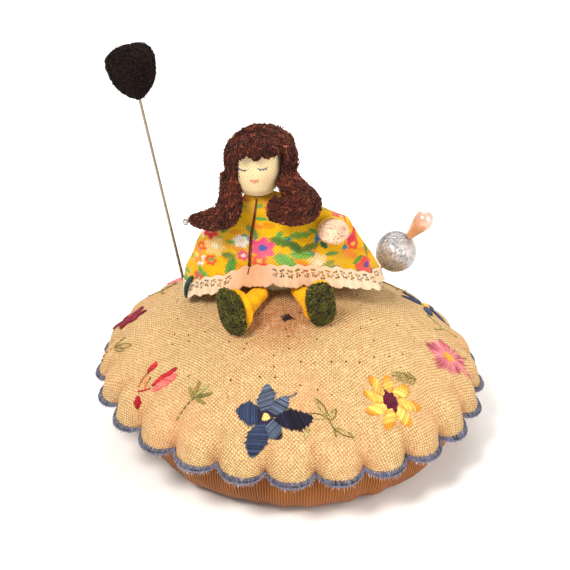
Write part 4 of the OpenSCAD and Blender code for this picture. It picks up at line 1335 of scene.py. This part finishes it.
class PINCUSHION_OT_body(PinCushionOperator, bpy.types.Operator):
    """The doll's stuffed body and its cloth neck"""

    bl_idname = "pincushion.body"
    bl_label = "Body"

    def build(self):
        skin = cotton_material("Face cotton", 0.56, 0.6)
        self.body(skin)
        self.neck(skin)

    @staticmethod
    def body(skin):
        low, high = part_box("torso")
        foot, head = np.array([-3.5, 8.5, low.z / MM + 0.6]), np.array([-10.5, 4, high.z / MM - 0.4])
        t = np.linspace(0, 1, 30)
        path = foot + (head - foot) * t[:, None]
        wide = np.interp(t, [0, 0.06, 0.3, 0.6, 0.9, 1], [5.2, 6.2, 6.2, 4.9, 2.9, 1.8])
        made = piece("doll_body", swept(path, wide, wide * 0.95, 40, (1, 0, 0), colours().skin), skin,
                     "cushion", ("torso",))

    @staticmethod
    def neck(skin):
        z = np.linspace(79.4, 87.6, 16)
        path = np.stack([np.full(16, -10.5), np.full(16, 4.0), z], 1)
        wide = np.interp(z, [79, 81, 84, 88], [3.2, 2.5, 2.1, 2.0])
        made = piece("neck_cloth", swept(path, wide, wide, 32, (1, 0, 0), colours().skin), skin,
                     "cushion", ("neck_peg",))


def leg_places():
    """Hip and foot of each leg in mm."""
    return {
        "left": (np.array([2, -1.5, 52.6]), np.array([8.6, -14.2, 55.0])),
        "right": (np.array([-8.5, -2, 52.1]), np.array([-17.2, -16.6, 53.6])),
    }


class PINCUSHION_OT_legs(PinCushionOperator, bpy.types.Operator):
    """Felt legs with upright feet and green pile soles"""

    bl_idname = "pincushion.legs"
    bl_label = "Legs"

    def build(self):
        felt = fluff_material("Yellow felt", 1.2, 0.95, 1.15)
        pile = fluff_material("Green pile", 1.5, 0.95, 1.9)
        for number, (side, (hip, foot)) in enumerate(leg_places().items()):
            rng = np.random.default_rng(40 + number)
            self.leg(rng, side, hip, foot, felt)
            self.sole(rng, side, hip, foot, pile)

    @staticmethod
    def frame_of(hip, foot):
        """Across, forward and up directions of a foot."""
        ahead = unit(np.array([foot[0] - hip[0], foot[1] - hip[1], 0.0]))
        return np.cross([0, 0, 1.0], ahead), ahead, np.array([0, 0, 1.0])

    def leg(self, rng, side, hip, foot, felt):
        across, ahead, up = self.frame_of(hip, foot)
        ankle = foot - up * 3.4 - ahead * 1.5
        path = curve_through([hip, hip * 0.55 + ankle * 0.45 + up * 0.2, ankle], 26)
        wide = np.interp(np.linspace(0, 1, 26), [0, 0.1, 0.6, 1], [1.6, 2.7, 3.0, 3.2])
        shank = swept(path, wide, wide * 0.92, 32, across, colours().leg)
        t = np.linspace(0, 1, 15)
        bulge = np.sin(np.pi * np.clip(t, 0.03, 0.97)) ** 0.35
        middle = foot - up * 0.2 + across * 0.5
        turn = TURN * np.arange(44) / 44
        ring = ((self.wide_foot * np.cos(turn))[:, None] * across + (self.long_foot * np.sin(turn))[:, None] * up)
        grid = middle + ahead * (-3 + 4.4 * t)[:, None, None] + bulge[:, None, None] * ring[None]
        block = sheet_shape(grid, colours().leg, True, (True, True))
        solid = join([shank, block])
        roots, normals = spread_on(rng, block, 700)
        fluff = sprout(rng, roots, normals, np.zeros(3), 0.45, 0.045, colours().leg, 0.3, 4, 3, 0.8)
        made = piece(f"{side}_leg_felt", join([solid, fluff]), felt, f"{side}_leg", (f"{side}_leg",))

    wide_foot, long_foot = 5.5, 7.4

    def sole(self, rng, side, hip, foot, pile):
        across, ahead, up = self.frame_of(hip, foot)
        middle = foot + up * 0.4 + ahead * 1.5
        turn = TURN * np.arange(40) / 40
        t = np.linspace(0, 1, 9)
        bulge = np.cos(t * np.pi / 2) ** 0.5 * 0.96 + 0.04
        tilted = unit(up - 0.17 * across)
        square = lambda w: np.sign(w) * np.abs(w) ** 0.7
        ring = (4.4 * square(np.cos(turn)))[:, None] * across + (7.5 * square(np.sin(turn)))[:, None] * tilted
        grid = middle + ahead * (1.7 * t)[:, None, None] + bulge[:, None, None] * ring[None]
        pad = sheet_shape(grid, np.array(colours().sole) * 0.5, True, (True, True))
        roots, normals = spread_on(rng, pad, 1500)
        flow = unit(np.cross(normals, rng.standard_normal((1500, 3))))
        loops = curls(rng, roots + normals * 0.1, normals, flow, 1.3, 0.16, colours().sole, 1.2, 0.34, 7, 4, 0, 0.6)
        piece(f"{side}_sole_pile", join([pad, loops]), pile, f"{side}_leg", (f"{side}_sole",))


class PINCUSHION_OT_arm(PinCushionOperator, bpy.types.Operator):
    """Printed sleeve with its hand of wound wool"""

    bl_idname = "pincushion.arm"
    bl_label = "Left arm"

    def build(self):
        self.sleeve()
        self.hand()

    @staticmethod
    def sleeve():
        root, elbow, cuff = (15.2, 5.2, 70.6), (13.6, 0.6, 72.4), (13.2, -4.4, 75.0)
        n = 34
        path = curve_through([root, elbow, cuff], n)
        t = np.linspace(0, 1, n)
        wide = np.interp(t, [0, 0.25, 0.8, 1], [4.6, 4.6, 4.7, 4.3])
        crease = 1 + 0.05 * np.sin(t * 16)
        cols = 48
        outer = swept(path, wide * crease, wide * 0.95, cols, (1, 0, 0), close=(False, False))
        x, z = outer[0][:, 0], outer[0][:, 2]
        tint = print_colours(np.stack([x + 4, z - 8], -1), colours().print_ground)
        edge = np.repeat(smooth((t - 0.86) / 0.06), cols)[:, None]
        tint = tint * (1 - edge) + np.array(shade(250, 204, 66)) * edge
        shape = (outer[0], outer[1], outer[2], tint)
        made = piece("left_sleeve_cloth", shape, cotton_material("Sleeve cotton"), "cushion",
                     ("left_sleeve",), 0.00045)
        made.parent = None
        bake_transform(made)

    @staticmethod
    def hand():
        rng = np.random.default_rng(50)
        middle = np.array([13.4, -6.4, 75.7])
        n = 34
        t = np.linspace(0, TURN, 25)
        axis = unit(rng.standard_normal((n, 3)) * [1.2, 0.8, 0.8])
        first = unit(np.cross(axis, rng.standard_normal((n, 3))))
        second = np.cross(axis, first)
        form = np.array([4.55, 3.3, 3.5])
        lift = rng.uniform(0.88, 1.02, (n, 1, 1))
        loops = middle + form * lift * (np.cos(t)[None, :, None] * first[:, None] + np.sin(t)[None, :, None] * second[:, None])
        yarn = tube_shape(loops, 0.42, mottle(rng, colours().hand, n, 0.1), 6)
        rows, cols = 14, 28
        polar = np.linspace(0.12, np.pi - 0.12, rows)[:, None]
        round_ = TURN * np.arange(cols)[None] / cols
        core = middle + form * 0.93 * np.stack(np.broadcast_arrays(
            np.sin(polar) * np.cos(round_), np.sin(polar) * np.sin(round_), np.cos(polar)), -1)
        ball = sheet_shape(core[::-1], np.array(colours().hand) * 0.85, True, (True, True))
        roots, normals = spread_on(rng, ball, 900)
        fluff = sprout(rng, roots + normals * 0.3, normals, np.array([0, 0, 0]), 0.9, 0.045,
                       np.array(colours().hand) * 1.1, 0.4, 5, 3, 0.9)
        made = piece("left_hand_wool", join([ball, yarn, fluff]), fluff_material("Wound wool", 0.9, 0.95, 1.25),
                     "left_arm", ("left_hand",))


HEAD_RINGS = np.array([
    [84.3, 0.5], [84.6, 3.3], [85.6, 5.5], [87.6, 6.9], [91, 7.6], [94.4, 7.9], [97.6, 7.9], [100.4, 7.1],
    [102.2, 5.4], [103.0, 3], [103.2, 0.5]
])
HEAD_MIDDLE = np.array([-10.6, 3.1])
FACE_TURN = np.radians(-9)


def face_at(phi, z, out=0.0):
    """The head at angle phi from its own front and height z: an egg that narrows to the chin, flatter in
    front than it is wide, with its front turned a little to its right."""
    w = np.interp(z, HEAD_RINGS[:, 0], HEAD_RINGS[:, 1]) + out
    flat = np.where(np.cos(phi) > 0, 0.86, 0.95)
    x, y = w * np.sin(phi), -w * flat * np.cos(phi)
    c, s = np.cos(FACE_TURN), np.sin(FACE_TURN)
    return np.stack(np.broadcast_arrays(HEAD_MIDDLE[0] + x * c - y * s, HEAD_MIDDLE[1] + x * s + y * c, z), -1)


class PINCUSHION_OT_head(PinCushionOperator, bpy.types.Operator):
    """Cotton head with closed eyes and a small mouth in single stitches"""

    bl_idname = "pincushion.head"
    bl_label = "Head and face"

    def build(self):
        z = np.interp(np.linspace(0, 1, 44), np.linspace(0, 1, len(HEAD_RINGS)), HEAD_RINGS[:, 0])
        cols = 64
        phi = TURN * np.arange(cols) / cols
        grid = face_at(phi[None], z[:, None])
        cheek = np.exp(-(((np.abs(phi[None] - np.pi) - np.pi + 0.62) / 0.3) ** 2 + ((z[:, None] - 92.0) / 1.8) ** 2))
        tint = np.array(colours().skin) * (1 - 0.22 * cheek[..., None]) + 0.22 * cheek[..., None] * np.array(shade(240, 150, 120))
        uv = np.stack(np.broadcast_arrays(7 * TURN * np.arange(cols + 1)[None] / cols, z[:, None]), -1)
        shape = sheet_shape(grid[::-1], tint[::-1], True, (True, True), uv[::-1])
        made = piece("head_cloth", shape, bpy.data.materials["Face cotton"], "head", ("head",))
        self.eyes()
        self.mouth()

    @staticmethod
    def strokes(marks, radius, tint):
        """Thread marks on the face: each is an arc from one face place to another with a sag in its middle."""
        t = np.linspace(0, 1, 7)
        paths = []
        for p0, z0, p1, z1, sag in marks:
            phi = p0 + (p1 - p0) * t
            z = z0 + (z1 - z0) * t - sag * np.sin(np.pi * t)
            paths.append(face_at(phi, z, -0.06 + 0.2 * np.sin(np.pi * t) ** 0.5))
        return tube_shape(np.array(paths), radius, tint, 6)

    def eyes(self):
        marks = []
        for side, z in ((-1, 95.5), (1, 96.3)):
            inner, outer = side * 0.2, side * 0.62
            marks.append((inner, z, outer, z + 0.1, 0.42))
            for k, f in enumerate((0.2, 0.5, 0.8)):
                at = inner + (outer - inner) * f
                marks.append((at, z - 0.35, at + side * 0.05, z - 0.75, 0.0))
        piece("eye_stitches", self.strokes(marks, 0.13, shade(74, 84, 116)), thread_material("Eye thread", 0.6),
              "head", ("eyes",))

    def mouth(self):
        marks = [(-0.08, 92.0 + k, 0.26, 92.0 + k, 0.18 - 0.3 * k) for k in (-0.24, 0.0, 0.24)]
        piece("mouth_stitches", self.strokes(marks, 0.19, shade(226, 140, 112)), thread_material("Mouth thread", 0.6),
              "head", ("mouth",))


def streaked(rng, count):
    """Hair colour for each strand: most are dark, and about one in six is a bright chestnut that stands for a painted
    highlight on the wool.
    """
    # Painted highlight: randomly chosen strands are made lighter to stand for light caught on the wool.
    bright = rng.random((count, 1)) < 0.15
    return np.where(bright, np.array(shade(118, 60, 42)), np.array(colours().hair) * 0.85)


class PINCUSHION_OT_hair(PinCushionOperator, bpy.types.Operator):
    """Looped wool hair: a cap, a fringe in three lobes and two pigtails"""

    bl_idname = "pincushion.hair"
    bl_label = "Hair"

    def build(self):
        wool = fluff_material("Hair wool", 1.0, 0.75, 1.9, 0.05)
        self.cap(wool)
        self.fringe(wool)
        self.pigtail("left_pigtail", [(-1.6, 0.8, 91.4), (1.2, -3.0, 88.8), (4.8, -7.4, 85.8), (0.8, -9.4, 84.6), (-6.4, -8.6, 85.2)],
                     [3.4, 3.8, 4.7, 4.6, 3.4], 2200, 62, wool)
        self.pigtail("right_pigtail", [(-18.8, 2.0, 92), (-18.4, -2.6, 86.4), (-19.8, -5.6, 81.4), (-24.6, -4.8, 79),
                                       (-30.6, -2.8, 77.8)], [2.4, 3.3, 4.0, 3.4, 1.3], 1800, 63, wool)

    @staticmethod
    def clothe(rng, core, count, flow_to, wool, name, nodes, length=3.3, radius=0.17, hug=0.05):
        roots, normals = spread_on(rng, core, count)
        flow = np.broadcast_to(flow_to, roots.shape) if np.ndim(flow_to) == 1 else flow_to(roots, normals)
        flow = flow - normals * (flow * normals).sum(1, keepdims=True)
        strands = curls(rng, roots, normals, unit(flow), length, radius, streaked(rng, count), 1.4, 0.3, 7, 3, hug, 0.4)
        loose = sprout(rng, roots[:count // 3], normals[:count // 3], np.array([0, 0, -0.3]), 0.9, 0.05,
                       colours().hair, 0.5, 6, 3, 0.6)
        return piece(name, join([core, strands, loose]), wool, "head", nodes)

    def cap(self, wool):
        """A bonnet of hair. Half width follows a circle over the crown and hangs straighter at the sides; the
        front is open between two angles that frame the face."""
        rng = np.random.default_rng(60)
        rows, cols = 40, 56
        z_top, z_low = 105.4, 86.0
        t = np.linspace(0.0, 1, rows)[:, None]
        z = z_top + (z_low - z_top) * t**1.15
        high = np.clip((z - 96) / (z_top - 96), 0, 1)
        w = 10.6 * np.sqrt(np.maximum(1 - high**2.2, 0.0006)) - 1.2 * smooth((94 - z) / 9)
        lean = 1.4 * smooth((z - 94) / 12)
        half = 0.02 + 0.8 * smooth((102.4 - z) / 1.0)
        u = np.linspace(0, 1, cols)[None]
        phi = half + (TURN - 2 * half) * u
        out = 1 + 0.03 * np.sin(phi * 7 + z / 2)
        x = -9.2 + lean * 0.6 + w * 1.02 * np.sin(phi) * out
        y = 4.6 - w * 0.95 * np.cos(phi) * out
        grid = np.stack(np.broadcast_arrays(x, y, z), -1)
        middle = np.array([-9.2, 4.6, 94])
        inner = (grid - middle) * 0.86 + middle
        loop = np.concatenate([grid, inner[:, ::-1]], 1)
        shell = sheet_shape(loop, np.array(colours().hair) * 0.5, True, lips=True)
        flow = lambda roots, normals: np.array([0, 0, -1.0]) + 0 * roots
        self.clothe(rng, shell, 3600, flow, wool, "hair_cap_wool", ("hair_cap",))

    def fringe(self, wool):
        rng = np.random.default_rng(61)
        shapes = []
        for x, low, wide in ((-15.0, 100.7, 1.9), (-10.6, 100.0, 2.0), (-6.4, 100.8, 1.9)):
            path = curve_through([(x, 0.4, 103.6), (x, -2.4, 103.0), (x, -4.5, 101.7), (x + 0.2, -4.8, low)], 9)
            widths = wide * np.array([1.1, 1.2, 1.25, 1.25, 1.2, 1.1, 0.9, 0.65, 0.3])
            shapes.append(swept(path, widths, widths * 0.55, 16, (1, 0, 0), np.array(colours().hair) * 0.5))
        roots, normals = (np.concatenate(x) for x in zip(*(spread_on(rng, s, 320) for s in shapes)))
        flow = np.array([0, 0, -1.0]) - normals * (normals @ np.array([0, 0, -1.0]))[:, None]
        strands = curls(rng, roots, normals, unit(flow), 2.6, 0.17, streaked(rng, len(roots)), 1.2, 0.28, 7, 3, 0, 0.4)
        piece("fringe_wool", join([*shapes, strands]), wool, "head", ("fringe",))

    def pigtail(self, node, points, radii, count, seed, wool):
        rng = np.random.default_rng(seed)
        n = 34
        path = curve_through(points, n)
        wide = np.interp(np.linspace(0, 1, n), np.linspace(0, 1, len(radii)), radii)
        wide[0] *= 0.6
        wide[-1] *= 0.5
        core = swept(path, wide * 0.92, wide * 0.85, 28, (1, 0.2, 0), np.array(colours().hair) * 0.5)
        line, way = path, unit(np.gradient(path, axis=0))

        def flow(roots, normals):
            near = np.linalg.norm(roots[:, None] - line[None], axis=-1).argmin(1)
            return way[near]

        self.clothe(rng, core, count, flow, wool, f"{node}_wool", (node,), 3.4, 0.18, 0.1)


class PINCUSHION_OT_pins(PinCushionOperator, bpy.types.Operator):
    """Hatpin with a wrapped felt head, pin with two pearls, and the bead pin in the hair"""

    bl_idname = "pincushion.pins"
    bl_label = "Pins"

    def build(self):
        steel = steel_material()
        for name in ("hatpin_shaft", "pearl_pin_shaft", "hair_pin_shaft"):
            node = frame["nodes"][name]
            node.data.materials.clear()
            node.data.materials.append(steel)
        self.felt_head()
        self.pearls()
        self.bead()

    @staticmethod
    def axis_of(joint):
        """Direction of a slide joint, outwards."""
        return unit(np.array(joint_named(joint)["axis"], float))

    @staticmethod
    def turned(axis, r, z, at, cols=48, wobble=None, flat=None):
        """A profile of radius r at distance z along an axis from a place, turned round that axis."""
        first = unit(np.cross(axis, [0, 1.0, 0]))
        second = np.cross(axis, first)
        t = TURN * np.arange(cols) / cols
        form = 1 if wobble is None else wobble(t[None], z[:, None])
        ring = np.cos(t)[:, None] * first + np.sin(t)[:, None] * second
        return at + axis * z[:, None, None] + (r[:, None] * form)[..., None] * ring[None]

    def felt_head(self):
        rng = np.random.default_rng(70)
        axis = self.axis_of("hatpin_slide")
        at = np.array([-33.5, 14, 40.3]) + axis * 72.6
        z = np.array([0, 0.4, 1.6, 3.2, 5, 7.2, 9.4, 11.6, 13.4, 14.8, 15.7, 16.2])
        r = np.array([0.5, 1.4, 2.9, 4.3, 5.5, 6.4, 7.0, 7.4, 7.2, 6.2, 4.2, 0.6])
        fine = np.linspace(0, 16.2, 40)
        block = lambda t, zz: 1 + 0.05 * np.cos(3 * t + 0.6) + 0.035 * np.sin(2 * t + zz / 3)
        grid = self.turned(axis, np.interp(fine, z, r), fine, at, 56, block)
        core = sheet_shape(grid[::-1], np.array(colours().felt) * 0.7, True, (True, True))
        roots, normals = spread_on(rng, core, 3600)
        flow = unit(np.cross(normals, axis) + 0.8 * rng.standard_normal((3600, 3)))
        flow = unit(flow - normals * (flow * normals).sum(1, keepdims=True))
        strands = curls(rng, roots, normals, flow, 2.2, 0.11, colours().felt, 1.1, 0.25, 7, 3, 0, 0.8)
        fluff = sprout(rng, roots[:1400], normals[:1400], np.zeros(3), 0.8, 0.04, colours().felt, 0.4, 4, 3, 0.9)
        piece("hatpin_felt", join([core, strands, fluff]), fluff_material("Hatpin felt", 1.2, 0.97, 1.8, 0.03),
              "hatpin", ("hatpin_head",))

    def pearls(self):
        axis = self.axis_of("pearl_pin_slide")
        at = np.array([26.9, 24, 40.5])
        ball = 6.8
        t = np.linspace(0.03, np.pi - 0.03, 40)
        dent = lambda a, z: 1 + 0.012 * np.sin(3 * a + z / 2) + 0.008 * np.sin(7 * a)
        grid = self.turned(axis, ball * np.sin(t), -ball * np.cos(t), at + axis * 12.9, 64, dent)
        girth = np.stack(np.broadcast_arrays(ball * t[:, None], np.arange(65)[None] * 0.64), -1)
        piece("grey_pearl", sheet_shape(grid[::-1], colours().grey_pearl, True, (True, True), girth[::-1]),
              grey_pearl_material(), "pearl_pin", ("round_pearl",))
        z = np.linspace(0.0, 11.5, 50)
        low = 1.3 + 1.8 * smooth(z / 8.0)
        cap = np.sqrt(np.maximum(1 - (np.maximum(z - 8.4, 0) / 3.12) ** 2, 0.0004))
        foot = np.sqrt(np.clip((z + 0.02) / 0.7, 0.03, 1))
        bow = at + axis * (12.9 + ball - 0.45)
        grid = self.turned(axis, low * cap * foot, z, bow, 48, lambda a, zz: 1 + 0.02 * np.sin(2 * a + zz / 4))
        along = np.stack(np.broadcast_arrays(z[:, None], np.arange(49)[None] * 0.35), -1)
        piece("drop_pearl_body", sheet_shape(grid[::-1], colours().peach_pearl, True, (True, True), along[::-1]),
              drop_pearl_material(), "pearl_pin", ("drop_pearl",))

    def bead(self):
        axis = self.axis_of("hair_pin_slide")
        low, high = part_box("hair_pin_bead")
        middle = np.array((low + high) / 2) / MM
        t = np.linspace(0.08, np.pi - 0.08, 22)
        grid = self.turned(axis, 1.1 * np.sin(t), -0.95 * np.cos(t), middle, 32)
        piece("clear_bead", sheet_shape(grid[::-1], (1, 1, 1), True, (True, True)), bead_material(),
              "hair_pin", ("hair_pin_bead",))


def joint_named(name):
    """A joint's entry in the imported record."""
    return next(j for j in frame["record"]["behaviour"]["joints"] if j["name"] == name)


class PINCUSHION_OT_stage(PinCushionOperator, bpy.types.Operator):
    """Pale floor, soft studio light and the camera"""

    bl_idname = "pincushion.stage"
    bl_label = "Stage"

    def build(self):
        scene = bpy.context.scene
        floor_tree, floor_bsdf, floor_look = material("Studio floor", 0.9)
        floor_bsdf.inputs["Base Color"].default_value = (0.93, 0.93, 0.93, 1)
        steps = np.linspace(-2500, 2500, 3)
        flat = np.stack(np.meshgrid(steps, steps, indexing="xy"), -1)
        grid = np.concatenate([flat, np.full((3, 3, 1), -0.05)], -1)
        floor = make_mesh("floor", sheet_shape(grid[::-1].copy()))
        floor.data.materials.append(floor_look)
        world = bpy.data.worlds.new("Studio")
        scene.world = world
        world.use_nodes = True
        world.node_tree.nodes["Background"].inputs[0].default_value = (1, 0.985, 0.96, 1)
        world.node_tree.nodes["Background"].inputs[1].default_value = 0.5
        for name, place, energy, wide in (
            ("Key light", (-0.35, -0.4, 0.75), 8, 0.3),
            ("Fill light", (0.6, -0.35, 0.4), 4.2, 0.6),
            ("Back light", (0.1, 0.6, 0.6), 3.0, 0.5),
        ):
            lamp = bpy.data.lights.new(name, "AREA")
            lamp.energy, lamp.size = energy, wide
            lamp.color = (1, 0.95, 0.88)
            made = bpy.data.objects.new(name, lamp)
            made.location = place
            made.rotation_euler = (Vector((0, 0, 0.05)) - Vector(place)).to_track_quat("-Z", "Y").to_euler()
            scene.collection.objects.link(made)
        lens = bpy.data.cameras.new("Camera")
        lens.lens, lens.sensor_width = 129.7, 36
        lens.clip_start = 0.01
        camera = bpy.data.objects.new("Camera", lens)
        camera.location = (-0.00165, -0.5554, 0.3903)
        target = Vector((-0.00165, 0, 0.0526))
        camera.rotation_euler = (target - camera.location).to_track_quat("-Z", "Y").to_euler()
        scene.collection.objects.link(camera)
        scene.camera = camera
        scene.view_settings.view_transform = "Standard"


class PINCUSHION_PT_panel(bpy.types.Panel):
    """Sidebar panel with the operators and their settings"""

    bl_label = "Pin Cushion"
    bl_idname = "PINCUSHION_PT_panel"
    bl_space_type = "VIEW_3D"
    bl_region_type = "UI"
    bl_category = "Pin Cushion"

    def draw(self, context):
        for settings in (context.scene.pin_cushion_sizes, context.scene.pin_cushion_colours):
            box = self.layout.box()
            for key in settings.__annotations__:
                box.prop(settings, key)
        for operator in OPERATORS:
            self.layout.operator(operator.bl_idname)


OPERATORS = (
    PINCUSHION_OT_stage, PINCUSHION_OT_base, PINCUSHION_OT_edging, PINCUSHION_OT_cover, PINCUSHION_OT_flowers,
    PINCUSHION_OT_tie, PINCUSHION_OT_body, PINCUSHION_OT_dress, PINCUSHION_OT_arm, PINCUSHION_OT_legs,
    PINCUSHION_OT_head, PINCUSHION_OT_hair, PINCUSHION_OT_pins,
)
CLASSES = (PinCushionSizes, PinCushionColours, *OPERATORS, PINCUSHION_PT_panel)


def register():
    for cls in CLASSES:
        bpy.utils.register_class(cls)
    bpy.types.Scene.pin_cushion_sizes = PointerProperty(type=PinCushionSizes)
    bpy.types.Scene.pin_cushion_colours = PointerProperty(type=PinCushionColours)


def unregister():
    del bpy.types.Scene.pin_cushion_colours
    del bpy.types.Scene.pin_cushion_sizes
    for cls in reversed(CLASSES):
        bpy.utils.unregister_class(cls)


def main():
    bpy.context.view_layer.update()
    register()
    for operator in OPERATORS:
        group_name, name = operator.bl_idname.split(".")
        getattr(getattr(bpy.ops, group_name), name)()
    bpy.context.view_layer.update()


if __name__ == "__main__":
    main()
